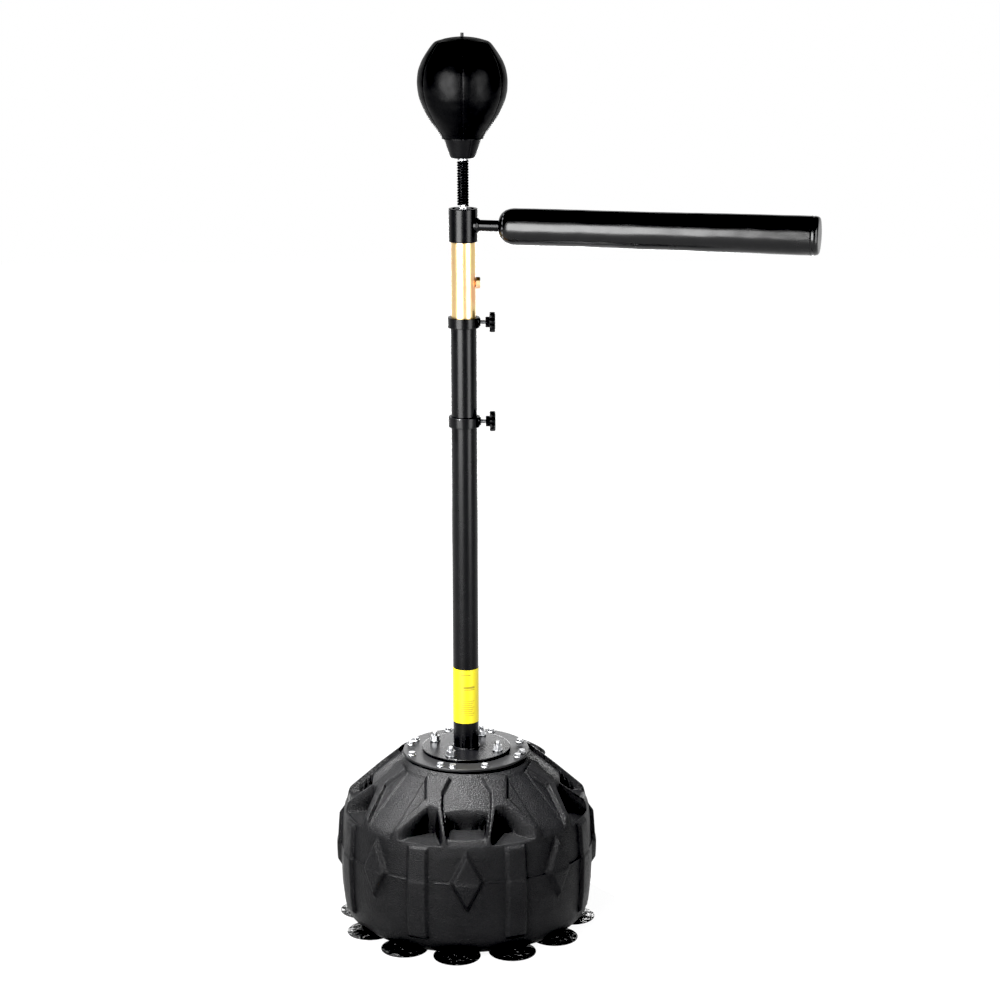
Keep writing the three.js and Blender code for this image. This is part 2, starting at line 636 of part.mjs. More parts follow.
function topPlate() {
  const chamfer = 1;
  const plate = turned(
    [
      [0, PLATE_BOTTOM],
      [PLATE_RADIUS, PLATE_BOTTOM],
      [PLATE_RADIUS, PLATE_TOP - chamfer],
      [PLATE_RADIUS - chamfer, PLATE_TOP],
      [0, PLATE_TOP],
    ],
    SIDES_TUB
  );
  const holes = SCREW_TURNS.map((turn) => screwPlace(turn, screwHole()));
  const stud = disc(STUD_RADIUS, PLATE_BOTTOM + 1, DISC_TOP + STUD_PROUD, SIDES_BOLT);
  const studs = around(STUD_COUNT, STUD_FIRST_TURN, (turn) => studPlace(turn, stud));
  return joinAll([cutAll(plate, holes), ...studs]);
}

function studNut(turn) {
  const seat = DISC_TOP + REST_GAP;
  const washer = disc(STUD_WASHER_RADIUS, seat, seat + STUD_WASHER_THICKNESS, 14);
  const hexTop = seat + STUD_WASHER_THICKNESS + STUD_NUT_HEIGHT;
  const hex = hexagon(STUD_NUT_FLATS, seat + 1, hexTop);
  const hole = disc(STUD_RADIUS + REST_GAP, seat - 1, hexTop + 1, SIDES_BOLT);
  return studPlace(turn, washer.add(hex).subtract(hole));
}

// ---- Pole tubes ----

function collarBoss(collarTop) {
  const middle = collarTop - COLLAR_HEIGHT / 2;
  const boss = rodAlongX(COLLAR_BOSS_RADIUS, TUBE_RADIUS - 0.5, COLLAR_BOSS_REACH, 16);
  return boss.translate([0, 0, middle]);
}

function collarScrewHole(collarTop) {
  const middle = collarTop - COLLAR_HEIGHT / 2;
  const hole = rodAlongX(KNOB_SCREW_RADIUS + REST_GAP, 10, COLLAR_BOSS_REACH + 1, 12);
  return hole.translate([0, 0, middle]);
}

function lowerPole() {
  const inside = TUBE_RADIUS - TUBE_WALL;
  const body = turned(
    [
      [inside, DISC_BOTTOM],
      [FOOT_DISC_RADIUS, DISC_BOTTOM],
      [FOOT_DISC_RADIUS, DISC_TOP],
      [TUBE_RADIUS + FOOT_WELD_LEG, DISC_TOP],
      [TUBE_RADIUS, DISC_TOP + FOOT_WELD_LEG],
      [TUBE_RADIUS, LOWER_TOP - COLLAR_HEIGHT],
      [COLLAR_RADIUS, LOWER_TOP - COLLAR_HEIGHT],
      [COLLAR_RADIUS, LOWER_TOP - 1],
      [COLLAR_RADIUS - 1, LOWER_TOP],
      [inside, LOWER_TOP],
    ],
    SIDES_POLE
  );
  const stud = disc(STUD_RADIUS + REST_GAP, PLATE_TOP, DISC_TOP + 1, SIDES_BOLT);
  const holes = around(STUD_COUNT, STUD_FIRST_TURN, (turn) => studPlace(turn, stud));
  const bossed = body.add(collarBoss(LOWER_TOP));
  return cutAll(bossed, [...holes, collarScrewHole(LOWER_TOP)]);
}

function poleLabel() {
  const inner = TUBE_RADIUS + LABEL_GAP;
  const outer = inner + LABEL_THICKNESS;
  const band = ring(inner, outer, LABEL_BOTTOM, LABEL_BOTTOM + LABEL_HEIGHT, SIDES_POLE);
  const bare = radians((360 - LABEL_WRAP) / 2);
  const far = TUBE_DIAMETER;
  const across = far * Math.sin(bare);
  const back = far * Math.cos(bare);
  const gap = [[0, 0], [across, back], [across, far], [-across, far], [-across, back]];
  return band.subtract(prism(gap, LABEL_BOTTOM - 1, LABEL_BOTTOM + LABEL_HEIGHT + 1));
}

function middleTube() {
  const spigotInside = INNER_TUBE_RADIUS - INNER_TUBE_WALL;
  const tubeInside = TUBE_RADIUS - TUBE_WALL;
  const step = LOWER_TOP + REST_GAP;
  const body = turned(
    [
      [spigotInside, LOWER_TOP - SPIGOT_LENGTH],
      [INNER_TUBE_RADIUS, LOWER_TOP - SPIGOT_LENGTH],
      [INNER_TUBE_RADIUS, step],
      [TUBE_RADIUS, step],
      [TUBE_RADIUS, MIDDLE_TOP - COLLAR_HEIGHT],
      [COLLAR_RADIUS, MIDDLE_TOP - COLLAR_HEIGHT],
      [COLLAR_RADIUS, MIDDLE_TOP - 1],
      [COLLAR_RADIUS - 1, MIDDLE_TOP],
      [tubeInside, MIDDLE_TOP],
      [tubeInside, LOWER_TOP + SPIGOT_HELD],
      [spigotInside, LOWER_TOP + SPIGOT_HELD],
    ],
    SIDES_POLE
  );
  return body.add(collarBoss(MIDDLE_TOP)).subtract(collarScrewHole(MIDDLE_TOP));
}

function innerTube() {
  const tube = ring(
    INNER_TUBE_RADIUS - INNER_TUBE_WALL,
    INNER_TUBE_RADIUS,
    INNER_BOTTOM,
    INNER_TOP,
    SIDES_POLE
  );
  const reach = TUBE_RADIUS + 10;
  const hole = rodAlongX(CROSS_BOLT_RADIUS + REST_GAP, -reach, reach, 12);
  return tube.subtract(hole.translate([0, 0, CROSS_BOLT_Z]));
}

// ---- Clamp knobs ----

function knobScrew(collarTop) {
  const tip = INNER_TUBE_RADIUS + REST_GAP;
  const screw = rodAlongX(KNOB_SCREW_RADIUS, tip, tip + KNOB_SCREW_LENGTH, 12);
  return screw.translate([0, 0, collarTop - COLLAR_HEIGHT / 2]);
}

function starOutline() {
  const outline = [];
  const steps = KNOB_LOBES * 4;
  for (let i = 0; i < steps; i++) {
    const angle = (i * FULL_TURN) / steps;
    const wave = (1 + Math.cos(KNOB_LOBES * angle)) / 2;
    const radius = KNOB_HEAD_RADIUS - KNOB_LOBE_DEPTH * (1 - Math.sqrt(wave));
    outline.push([radius * Math.cos(angle), radius * Math.sin(angle)]);
  }
  return outline;
}

function knobGrip(collarTop) {
  const start = COLLAR_BOSS_REACH + KNOB_STANDOFF;
  const neckEnd = start + KNOB_NECK_LENGTH;
  const headEnd = neckEnd + KNOB_HEAD_THICKNESS;
  const head = prism(starOutline(), neckEnd, headEnd);
  const neck = disc(KNOB_NECK_RADIUS, start, neckEnd + 1);
  const holeEnd = INNER_TUBE_RADIUS + REST_GAP + KNOB_SCREW_LENGTH + REST_GAP;
  const hole = disc(KNOB_SCREW_RADIUS + REST_GAP, start - 1, Math.min(holeEnd, headEnd - KNOB_SKIN), 12);
  const grip = head.add(neck).subtract(hole).rotate([0, 90, 0]);
  return grip.translate([0, 0, collarTop - COLLAR_HEIGHT / 2]);
}

// ---- Spindle, bearings and hub ----

function spindle() {
  const plugTop = INNER_TOP - 10;
  const seat = LOWER_BEARING_Z - REST_GAP;
  const body = turned(
    [
      [0, INNER_TOP - SPINDLE_PLUG_LENGTH],
      [PLUG_RADIUS, INNER_TOP - SPINDLE_PLUG_LENGTH],
      [PLUG_RADIUS, plugTop],
      [SPINDLE_SHOULDER_RADIUS, plugTop],
      [SPINDLE_SHOULDER_RADIUS, seat],
      [SHAFT_RADIUS, seat],
      [SHAFT_RADIUS, SPINDLE_SEAT_Z],
      [SPRING_STUD_RADIUS, SPINDLE_SEAT_Z],
      [SPRING_STUD_RADIUS, SPINDLE_SEAT_Z + SPRING_STUD_LENGTH],
      [0, SPINDLE_SEAT_Z + SPRING_STUD_LENGTH],
    ],
    SIDES_BEARING
  );
  const reach = TUBE_RADIUS + 10;
  const hole = rodAlongX(CROSS_BOLT_RADIUS + REST_GAP, -reach, reach, 12);
  return body.subtract(hole.translate([0, 0, CROSS_BOLT_Z]));
}

function crossBolt() {
  const headStart = INNER_TUBE_RADIUS + REST_GAP;
  const shank = disc(CROSS_BOLT_RADIUS, 1 - INNER_TUBE_RADIUS, headStart + 1, 12);
  const head = hexagon(CROSS_BOLT_FLATS, headStart, headStart + CROSS_BOLT_HEAD);
  return shank.add(head).rotate([0, 90, 0]).translate([0, 0, CROSS_BOLT_Z]);
}

function innerRace(bottom) {
  const middle = bottom + BEARING_WIDTH / 2;
  const top = bottom + BEARING_WIDTH;
  const profile = [
    [INNER_RACE_BORE, bottom],
    [INNER_RACE_RADIUS, bottom],
    [INNER_RACE_RADIUS, middle - GROOVE_HALF_WIDTH],
    [INNER_RACE_RADIUS - GROOVE_DEPTH, middle],
    [INNER_RACE_RADIUS, middle + GROOVE_HALF_WIDTH],
    [INNER_RACE_RADIUS, top],
    [INNER_RACE_BORE, top],
  ];
  return turned(profile, SIDES_BEARING);
}

function outerRace(bottom) {
  const middle = bottom + BEARING_WIDTH / 2;
  const top = bottom + BEARING_WIDTH;
  const profile = [
    [BEARING_OUTER_RADIUS, bottom],
    [BEARING_OUTER_RADIUS, top],
    [OUTER_RACE_BORE, top],
    [OUTER_RACE_BORE, middle + GROOVE_HALF_WIDTH],
    [OUTER_RACE_BORE + GROOVE_DEPTH, middle],
    [OUTER_RACE_BORE, middle - GROOVE_HALF_WIDTH],
    [OUTER_RACE_BORE, bottom],
  ];
  return turned(profile, SIDES_BEARING).rotate([0, 0, BAR_TURN]);
}

function bearingBalls(bottom) {
  const middle = bottom + BEARING_WIDTH / 2;
  const half = CAGE_THICKNESS / 2;
  const cage = ring(BALL_TRACK_RADIUS - half, BALL_TRACK_RADIUS + half, middle - 2, middle + 2, 14);
  const ball = solidFrom(new THREE.IcosahedronGeometry(BEARING_BALL_RADIUS, 0));
  const balls = around(BEARING_BALLS, 0, (turn) =>
    ball.translate([BALL_TRACK_RADIUS, 0, middle]).rotate([0, 0, turn])
  );
  return joinAll([cage, ...balls]);
}

function barHub() {
  const bore = BEARING_OUTER_RADIUS + BEARING_GAP;
  const ledge = BEARING_OUTER_RADIUS - RACE_THICKNESS + 0.5;
  const ledgeBottom = LOWER_BEARING_Z + BEARING_WIDTH + REST_GAP;
  const ledgeTop = UPPER_BEARING_Z - REST_GAP;
  const sleeve = turned(
    [
      [bore, HUB_BOTTOM],
      [HUB_RADIUS - HUB_CHAMFER, HUB_BOTTOM],
      [HUB_RADIUS, HUB_BOTTOM + HUB_CHAMFER],
      [HUB_RADIUS, HUB_TOP - HUB_CHAMFER],
      [HUB_RADIUS - HUB_CHAMFER, HUB_TOP],
      [bore, HUB_TOP],
      [bore, ledgeTop],
      [ledge, ledgeTop],
      [ledge, ledgeBottom],
      [bore, ledgeBottom],
    ],
    SIDES_POLE
  );
  const rodEnd = BAR_REACH - ROD_END_COVER;
  const start = bore + 1;
  const rod = along([
    [ROD_RADIUS - ROD_WALL, start],
    [ROD_WELD_RADIUS, start],
    [ROD_WELD_RADIUS, HUB_RADIUS + 0.5],
    [ROD_RADIUS, HUB_RADIUS + 5],
    [ROD_RADIUS, rodEnd],
    [ROD_RADIUS - ROD_WALL, rodEnd],
  ]);
  return sleeve.add(rod.translate([0, 0, ARM_Z])).rotate([0, 0, BAR_TURN]);
}

// Pad radius at a distance from the pole axis, thinning evenly to the hub end.
function padRadius(distance) {
  const share = (distance - BAR_PAD_START) / (BAR_REACH - BAR_PAD_START);
  return BAR_PAD_RADIUS_INNER + (BAR_PAD_RADIUS_TIP - BAR_PAD_RADIUS_INNER) * share;
}

// Outside of the pad pushed in by an amount, from the rod out to the axis at the tip.
function padOutline(inset, bore) {
  const start = BAR_PAD_START + inset;
  const end = BAR_REACH - inset;
  const round = BAR_ROUND;
  const outline = [[bore, start]];
  for (const turn of [0, 30, 60, 90]) {
    const across = padRadius(start + round) - inset - round * (1 - Math.sin(radians(turn)));
    outline.push([across, start + round * (1 - Math.cos(radians(turn)))]);
  }
  outline.push([padRadius(end) - inset, end - 4], [padRadius(end) - inset - 3, end], [0, end]);
  return outline;
}

function placeOnArm(solid) {
  return solid.translate([0, 0, ARM_Z]).rotate([0, 0, BAR_TURN]);
}

function barFoam() {
  const bore = ROD_RADIUS + REST_GAP;
  const rodEnd = BAR_REACH - ROD_END_COVER + REST_GAP;
  const outline = padOutline(BAR_COVER_THICKNESS + REST_GAP, bore);
  return placeOnArm(along([...outline, [0, rodEnd], [bore, rodEnd], outline[0]].slice(0, -1)));
}

function barCover() {
  const bore = ROD_RADIUS + REST_GAP;
  const outside = padOutline(0, bore);
  const inside = padOutline(BAR_COVER_THICKNESS, bore).reverse();
  return placeOnArm(along([...outside, ...inside]));
}

function spindleNut() {
  const top = SPINDLE_NUT_Z + SPINDLE_NUT_HEIGHT;
  const hole = disc(SHAFT_RADIUS + REST_GAP, SPINDLE_NUT_Z - 1, top + 1, SIDES_BEARING);
  return hexagon(SPINDLE_NUT_FLATS, SPINDLE_NUT_Z, top).subtract(hole);
}

// ---- Spring, cup and ball ----

class CoilCurve extends THREE.Curve {
  getPoint(share, target = new THREE.Vector3()) {
    const angle = share * SPRING_TURNS * FULL_TURN;
    const rise = SPRING_BOTTOM + SPRING_WIRE_RADIUS + share * SPRING_TURNS * SPRING_PITCH;
    return target.set(SPRING_COIL_RADIUS * Math.cos(angle), SPRING_COIL_RADIUS * Math.sin(angle), rise);
  }
}

function reboundSpring() {
  const section = regularOutline(SPRING_WIRE_SIDES, SPRING_WIRE_RADIUS);
  const shape = new THREE.Shape(section.map(([x, y]) => new THREE.Vector2(x, y)));
  const geometry = new THREE.ExtrudeGeometry(shape, {
    steps: SPRING_TURNS * SPRING_STEPS,
    bevelEnabled: false,
    extrudePath: new CoilCurve(),
  });
  return solidFrom(geometry);
}

function ballStud() {
  const flangeTop = BALL_STUD_Z + BALL_STUD_FLANGE_HEIGHT;
  const nutBottom = CUP_CONE_BOTTOM + CUP_CONE_FLOOR + REST_GAP;
  const nutTop = nutBottom + BALL_STUD_NUT_HEIGHT;
  const shank = turned(
    [
      [0, SPRING_TOP - SPRING_STUD_LENGTH],
      [SPRING_STUD_RADIUS, SPRING_TOP - SPRING_STUD_LENGTH],
      [SPRING_STUD_RADIUS, BALL_STUD_Z],
      [BALL_STUD_FLANGE_RADIUS, BALL_STUD_Z],
      [BALL_STUD_FLANGE_RADIUS, flangeTop],
      [BALL_STUD_RADIUS, flangeTop],
      [BALL_STUD_RADIUS, nutTop + 2],
      [0, nutTop + 2],
    ],
    16
  );
  return shank.add(hexagon(BALL_STUD_NUT_FLATS, nutBottom, nutTop));
}

function coneRadius(height) {
  const share = (height - CUP_CONE_BOTTOM) / CUP_CONE_HEIGHT;
  return CUP_CONE_BOTTOM_RADIUS + (CUP_CONE_TOP_RADIUS - CUP_CONE_BOTTOM_RADIUS) * share;
}

function ballCup() {
  const hole = BALL_STUD_RADIUS + REST_GAP;
  const floorTop = CUP_CONE_BOTTOM + CUP_CONE_FLOOR;
  return turned(
    [
      [hole, CUP_CONE_BOTTOM],
      [CUP_CONE_BOTTOM_RADIUS, CUP_CONE_BOTTOM],
      [CUP_CONE_TOP_RADIUS, CUP_CONE_TOP],
      [CUP_CONE_TOP_RADIUS - CUP_CONE_WALL, CUP_CONE_TOP],
      [coneRadius(floorTop) - CUP_CONE_WALL, floorTop],
      [hole, floorTop],
    ],
    SIDES_ROUND
  );
}

// Pear shape by height, 0 at the top of the cup and 1 at the crown.
// Up to the widest place the second number is the share of the way out from the neck.
const PEAR_BELOW = [[0, 0], [0.1, 0.353], [0.23, 0.705], [0.38, 0.932], [0.54, 1]];
// Above it the second number is the share of the widest radius.
const PEAR_ABOVE = [[0.7, 0.945], [0.83, 0.82], [0.92, 0.65], [0.985, 0.36]];

function pearOutline(inset) {
  const swell = BALL_RADIUS - BALL_NECK_RADIUS;
  const below = PEAR_BELOW.map(([share, out]) => [share, BALL_NECK_RADIUS + swell * out]);
  const above = PEAR_ABOVE.map(([share, width]) => [share, BALL_RADIUS * width]);
  return [...below, ...above].map(([share, radius]) => [
    radius - inset * (0.6 + (0.4 * radius) / BALL_RADIUS),
    CUP_CONE_TOP + REST_GAP + (BALL_HEIGHT - REST_GAP - inset) * share,
  ]);
}

function ballCover() {
  const hem = CUP_CONE_TOP - BALL_HEM_LENGTH;
  const valveHole = VALVE_RADIUS + REST_GAP;
  const hemInside = coneRadius(hem) + REST_GAP + 0.5;
  const topInside = CUP_CONE_TOP_RADIUS + REST_GAP + 0.5;
  const inside = pearOutline(BALL_COVER_THICKNESS);
  return turned(
    [
      [hemInside, hem],
      [hemInside + BALL_COVER_THICKNESS, hem],
      ...pearOutline(0),
      [valveHole, BALL_TOP],
      [valveHole, BALL_TOP - BALL_COVER_THICKNESS],
      ...inside.slice(1).reverse(),
      [topInside + 2, CUP_CONE_TOP + 4],
      [topInside, CUP_CONE_TOP],
    ],
    SIDES_ROUND
  );
}

function ballBladder() {
  const inset = BALL_COVER_THICKNESS + 0.8;
  const outside = pearOutline(inset).slice(1);
  const inside = pearOutline(inset + BLADDER_THICKNESS).slice(1);
  const top = BALL_TOP - inset;
  const neck = CUP_CONE_TOP + 3;
  const bottomRadius = CUP_CONE_TOP_RADIUS - 6;
  return turned(
    [
      [0, neck],
      [bottomRadius, neck],
      ...outside,
      [VALVE_RADIUS, top],
      [VALVE_RADIUS, BALL_TOP + VALVE_PROUD],
      [VALVE_BORE_RADIUS, BALL_TOP + VALVE_PROUD],
      [VALVE_BORE_RADIUS, top - BLADDER_THICKNESS],
      ...inside.reverse(),
      [bottomRadius - 3, neck + BLADDER_THICKNESS],
      [0, neck + BLADDER_THICKNESS],
    ],
    SIDES_ROUND
  );
}

// ---- Assembly ----

function toMesh(name, solid, styleName) {
  const data = solid.getMesh();
  const geometry = new THREE.BufferGeometry();
  geometry.setAttribute("position", new THREE.BufferAttribute(new Float32Array(data.vertProperties), 3));
  geometry.setIndex(new THREE.BufferAttribute(new Uint32Array(data.triVerts), 1));
  geometry.computeVertexNormals();
  const mesh = new THREE.Mesh(geometry, new THREE.MeshStandardMaterial(STYLES[styleName]));
  mesh.name = name;
  return mesh;
}

const numbered = (name, i) => `${name}_${String(i + 1).padStart(2, "0")}`;

function baseParts() {
  const parts = [
    ["base_tub", baseTub(), "polyethylene"],
    ["water_ballast", waterBallast(), "water"],
    ["filler_seal", fillerSeal(), "sealRubber"],
    ["filler_cap", fillerCap(), "hardPlastic"],
    ["top_plate", topPlate(), "blackPaint"],
    ["lower_pole", lowerPole(), "blackPaint"],
    ["pole_label", poleLabel(), "label"],
  ];
  around(CUP_COUNT, CUP_TURN, (turn) => turn).forEach((turn, i) => {
    parts.push([numbered("suction_cup", i), suctionCup(turn), "softPlastic"]);
  });
  SCREW_TURNS.forEach((turn, i) => {
    parts.push([numbered("plate_screw", i), plateScrew(turn), "zinc"]);
  });
  around(STUD_COUNT, STUD_FIRST_TURN, (turn) => turn).forEach((turn, i) => {
    parts.push([numbered("foot_nut", i), studNut(turn), "zinc"]);
  });
  return parts;
}

function poleParts() {
  return [
    ["middle_tube", middleTube(), "blackPaint"],
    ["inner_tube", innerTube(), "yellowZinc"],
    ["lower_knob_screw", knobScrew(LOWER_TOP), "zinc"],
    ["lower_knob_grip", knobGrip(LOWER_TOP), "hardPlastic"],
    ["upper_knob_screw", knobScrew(MIDDLE_TOP), "zinc"],
    ["upper_knob_grip", knobGrip(MIDDLE_TOP), "hardPlastic"],
    ["cross_bolt", crossBolt(), "yellowZinc"],
    ["spindle", spindle(), "steel"],
    ["spindle_nut", spindleNut(), "zinc"],
  ];
}

function barParts() {
  const parts = [
    ["bar_hub", barHub(), "blackPaint"],
    ["bar_foam", barFoam(), "foam"],
    ["bar_cover", barCover(), "vinyl"],
  ];
  const seats = { lower: LOWER_BEARING_Z, upper: UPPER_BEARING_Z };
  for (const [place, bottom] of Object.entries(seats)) {
    parts.push([`${place}_bearing_inner_race`, innerRace(bottom), "steel"]);
    parts.push([`${place}_bearing_outer_race`, outerRace(bottom), "steel"]);
    parts.push([`${place}_bearing_balls`, bearingBalls(bottom), "steel"]);
  }
  return parts;
}

function ballParts() {
  return [
    ["rebound_spring", reboundSpring(), "blackPaint"],
    ["ball_stud", ballStud(), "zinc"],
    ["ball_cup", ballCup(), "hardPlastic"],
    ["ball_bladder", ballBladder(), "bladder"],
    ["ball_cover", ballCover(), "vinyl"],
  ];
}

const stand = new THREE.Group();
stand.name = "reflex_ball_stand";
for (const [name, solid, style] of [...baseParts(), ...poleParts(), ...barParts(), ...ballParts()]) {
  stand.add(toMesh(name, solid, style));
}

export default stand;
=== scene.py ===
"""The looks of a free-standing reflex-ball stand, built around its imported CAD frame.

Lengths in the shape code are millimetres in the row frame; meshes are made in metres.
The front of the tub faces -Y. Angles round the pole are measured from the front towards +X.
"""

import json
import math

import bmesh
import bpy
import numpy as np
from mathutils import Matrix, Vector, noise


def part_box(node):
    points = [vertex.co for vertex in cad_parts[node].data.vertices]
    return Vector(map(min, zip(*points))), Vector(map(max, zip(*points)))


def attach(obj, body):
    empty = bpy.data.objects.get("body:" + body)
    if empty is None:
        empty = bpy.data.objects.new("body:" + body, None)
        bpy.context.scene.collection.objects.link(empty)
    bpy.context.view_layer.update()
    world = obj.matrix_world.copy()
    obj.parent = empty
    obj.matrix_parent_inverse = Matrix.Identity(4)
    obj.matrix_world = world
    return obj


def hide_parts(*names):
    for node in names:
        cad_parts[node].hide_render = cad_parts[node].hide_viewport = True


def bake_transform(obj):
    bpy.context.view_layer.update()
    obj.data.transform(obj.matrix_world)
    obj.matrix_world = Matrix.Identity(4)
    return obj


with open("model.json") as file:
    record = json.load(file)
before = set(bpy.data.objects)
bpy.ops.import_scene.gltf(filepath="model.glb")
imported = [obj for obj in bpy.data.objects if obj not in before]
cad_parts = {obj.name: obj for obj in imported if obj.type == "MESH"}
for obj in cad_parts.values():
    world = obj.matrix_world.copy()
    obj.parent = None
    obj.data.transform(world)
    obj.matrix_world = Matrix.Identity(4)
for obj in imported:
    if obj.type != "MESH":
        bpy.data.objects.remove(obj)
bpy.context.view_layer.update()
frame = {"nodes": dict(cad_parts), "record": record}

MM = 0.001


def low(node):
    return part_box(node)[0] / MM


def high(node):
    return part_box(node)[1] / MM


# Heights and reaches that come from the frame.
TUB_TOP = high("base_tub").z
PLATE_RADIUS = high("top_plate").x
PLATE_BOTTOM = low("top_plate").z
DISC_RADIUS = high("lower_pole").x
DISC_BOTTOM = low("lower_pole").z
LOWER_TOP = high("lower_pole").z
MIDDLE_TOP = high("middle_tube").z
INNER_TOP = high("inner_tube").z
HUB_BOTTOM = low("bar_hub").z
HUB_TOP = high("bar_hub").z
ARM_Z = (HUB_BOTTOM + HUB_TOP) / 2
SPRING_BOTTOM = low("rebound_spring").z
SPRING_TOP = high("rebound_spring").z
CUP_BOTTOM = low("ball_cup").z
CUP_TOP = high("ball_cup").z
BALL_TOP = high("ball_cover").z

# Sizes of the frame's parts that a box doesn't give.
TUBE_RADIUS = 25.0
INNER_RADIUS = 23.5
COLLAR_RADIUS = 30.5
COLLAR_HEIGHT = 19.5
BOSS_REACH = 32.0
HUB_RADIUS = 27.4
ARM_TURN = -15.0
CUP_RING = 211.0
SCREW_RING = 113.0
STUD_RING = 69.0


# ---- Mesh helpers ----

LONG_RUN = 6.0
SUPPORT_GAP = 0.7


def mesh_object(name, points, faces, sharp=None):
    """An object with its origin at the row's origin, from points in millimetres."""
    mesh = bpy.data.meshes.new(name)
    metres = (np.asarray(points, float) * MM).tolist()
    mesh.from_pydata(metres, [], [list(map(int, f)) for f in faces])
    box = bmesh.new()
    box.from_mesh(mesh)
    bmesh.ops.recalc_face_normals(box, faces=box.faces)
    box.to_mesh(mesh)
    box.free()
    shade(mesh, sharp)
    obj = bpy.data.objects.new(name, mesh)
    bpy.context.scene.collection.objects.link(obj)
    return obj


def shade(mesh, sharp):
    mesh.polygons.foreach_set("use_smooth", [True] * len(mesh.polygons))
    if sharp:
        mesh.set_sharp_from_angle(angle=math.radians(sharp))
    mesh.update()


def apply_modifier(obj, kind, **settings):
    modifier = obj.modifiers.new("m", kind)
    for key, value in settings.items():
        setattr(modifier, key, value)
    graph = bpy.context.evaluated_depsgraph_get()
    graph.update()
    fresh = bpy.data.meshes.new_from_object(obj.evaluated_get(graph))
    old = obj.data
    obj.modifiers.clear()
    obj.data = fresh
    fresh.name = obj.name
    bpy.data.meshes.remove(old)
    return obj


def boolean(obj, other, operation, sharp=35):
    apply_modifier(obj, "BOOLEAN", object=other, operation=operation, solver="EXACT")
    bpy.data.objects.remove(other)
    shade(obj.data, sharp)
    return obj


def joined(name, objects, sharp=None):
    """One object from several that don't touch, such as a row of stitches."""
    merged = bmesh.new()
    for obj in objects:
        obj.data.transform(obj.matrix_basis)
        merged.from_mesh(obj.data)
        bpy.data.objects.remove(obj)
    mesh = bpy.data.meshes.new(name)
    merged.to_mesh(mesh)
    merged.free()
    shade(mesh, sharp)
    obj = bpy.data.objects.new(name, mesh)
    bpy.context.scene.collection.objects.link(obj)
    return obj


def transformed(obj, matrix):
    obj.data.transform(matrix)
    obj.data.update()
    return obj


def rounded(profile, radius=0.6, steps=3):
    """The same closed or axis-to-axis profile with its corners rounded."""
    points = [Vector((r, z)) for r, z in profile]
    closed = profile[0][0] > 0
    count = len(points)
    out = []
    for i, here in enumerate(points):
        if not closed and i in (0, count - 1):
            out.append(here)
            continue
        before = points[i - 1] - here
        after = points[(i + 1) % count] - here
        reach = min(radius, before.length * 0.45, after.length * 0.45)
        start = here + before.normalized() * reach
        end = here + after.normalized() * reach
        for k in range(steps + 1):
            t = k / steps
            out.append(start * (1 - t) ** 2 + here * 2 * t * (1 - t) + end * t ** 2)
    return supported([(p.x, p.y) for p in out], closed)


def supported(outline, closed):
    """Adds points close to the ends of long straight runs, so that they shade flat."""
    out = []
    count = len(outline)
    for i, here in enumerate(outline):
        out.append(here)
        if not closed and i == count - 1:
            break
        there = outline[(i + 1) % count]
        length = math.dist(here, there)
        if length > LONG_RUN:
            for share in (SUPPORT_GAP / length, 1 - SUPPORT_GAP / length):
                out.append(tuple(a + (b - a) * share for a, b in zip(here, there)))
    return out


def grid_faces(rows, columns, first=0, wrap_rows=False):
    """Quads joining rows of columns points, each row going all the way round."""
    faces = []
    for i in range(rows if wrap_rows else rows - 1):
        a0 = first + i * columns
        b0 = first + ((i + 1) % rows) * columns
        for j in range(columns):
            k = (j + 1) % columns
            faces.append((a0 + j, a0 + k, b0 + k, b0 + j))
    return faces


def close_ends(points, faces, sides, ends):
    """Closes end rows with fans of triangles from points on the axis."""
    for height, row in ends:
        tip = len(points)
        points.append((0.0, 0.0, height))
        faces += [(row * sides + j, row * sides + (j + 1) % sides, tip) for j in range(sides)]


def lathe_points(profile, sides):
    """Points of each ring off the axis, and how many rings there are."""
    angle = np.arange(sides) * 2 * math.pi / sides
    rows = [r for r in profile if r[0] > 1e-9]
    r = np.array([p[0] for p in rows])[:, None]
    z = np.array([p[1] for p in rows])[:, None]
    points = np.stack([r * np.sin(angle), -r * np.cos(angle), z + 0 * angle], -1)
    return points.reshape(-1, 3), len(rows)


def lathe(name, profile, sides=96, sharp=32):
    """A solid of revolution about Z from a closed or axis-to-axis profile."""
    points, rows = lathe_points(profile, sides)
    closed = profile[0][0] > 1e-9
    faces = grid_faces(rows, sides, wrap_rows=closed)
    points = list(map(tuple, points))
    if not closed:
        close_ends(points, faces, sides, ((profile[0][1], 0), (profile[-1][1], rows - 1)))
    return mesh_object(name, points, faces, sharp)


def peg(radius, bottom, top, sides=32):
    return lathe("peg", [(0, bottom), (radius, bottom), (radius, top), (0, top)], sides)


def along_x(obj, height):
    """Turns a part made about Z so that it lies along +X at a height."""
    turn = Matrix.Rotation(math.pi / 2, 4, "Y")
    return transformed(obj, Matrix.Translation((0, 0, height * MM)) @ turn)


def along_arm(obj):
    """Turns a part made about Z so that it lies along the bar's arm."""
    turn = Matrix.Rotation(math.radians(ARM_TURN), 4, "Z")
    lift = Matrix.Translation((0, 0, ARM_Z * MM))
    return transformed(obj, turn @ lift @ Matrix.Rotation(math.pi / 2, 4, "Y"))


def stack(name, loops, sharp=32):
    """A closed solid from loops with the same number of points."""
    columns = len(loops[0])
    points = [p for loop in loops for p in loop]
    faces = grid_faces(len(loops), columns)
    faces.append(tuple(range(columns)))
    last = (len(loops) - 1) * columns
    faces.append(tuple(range(last, last + columns)))
    return mesh_object(name, points, faces, sharp)


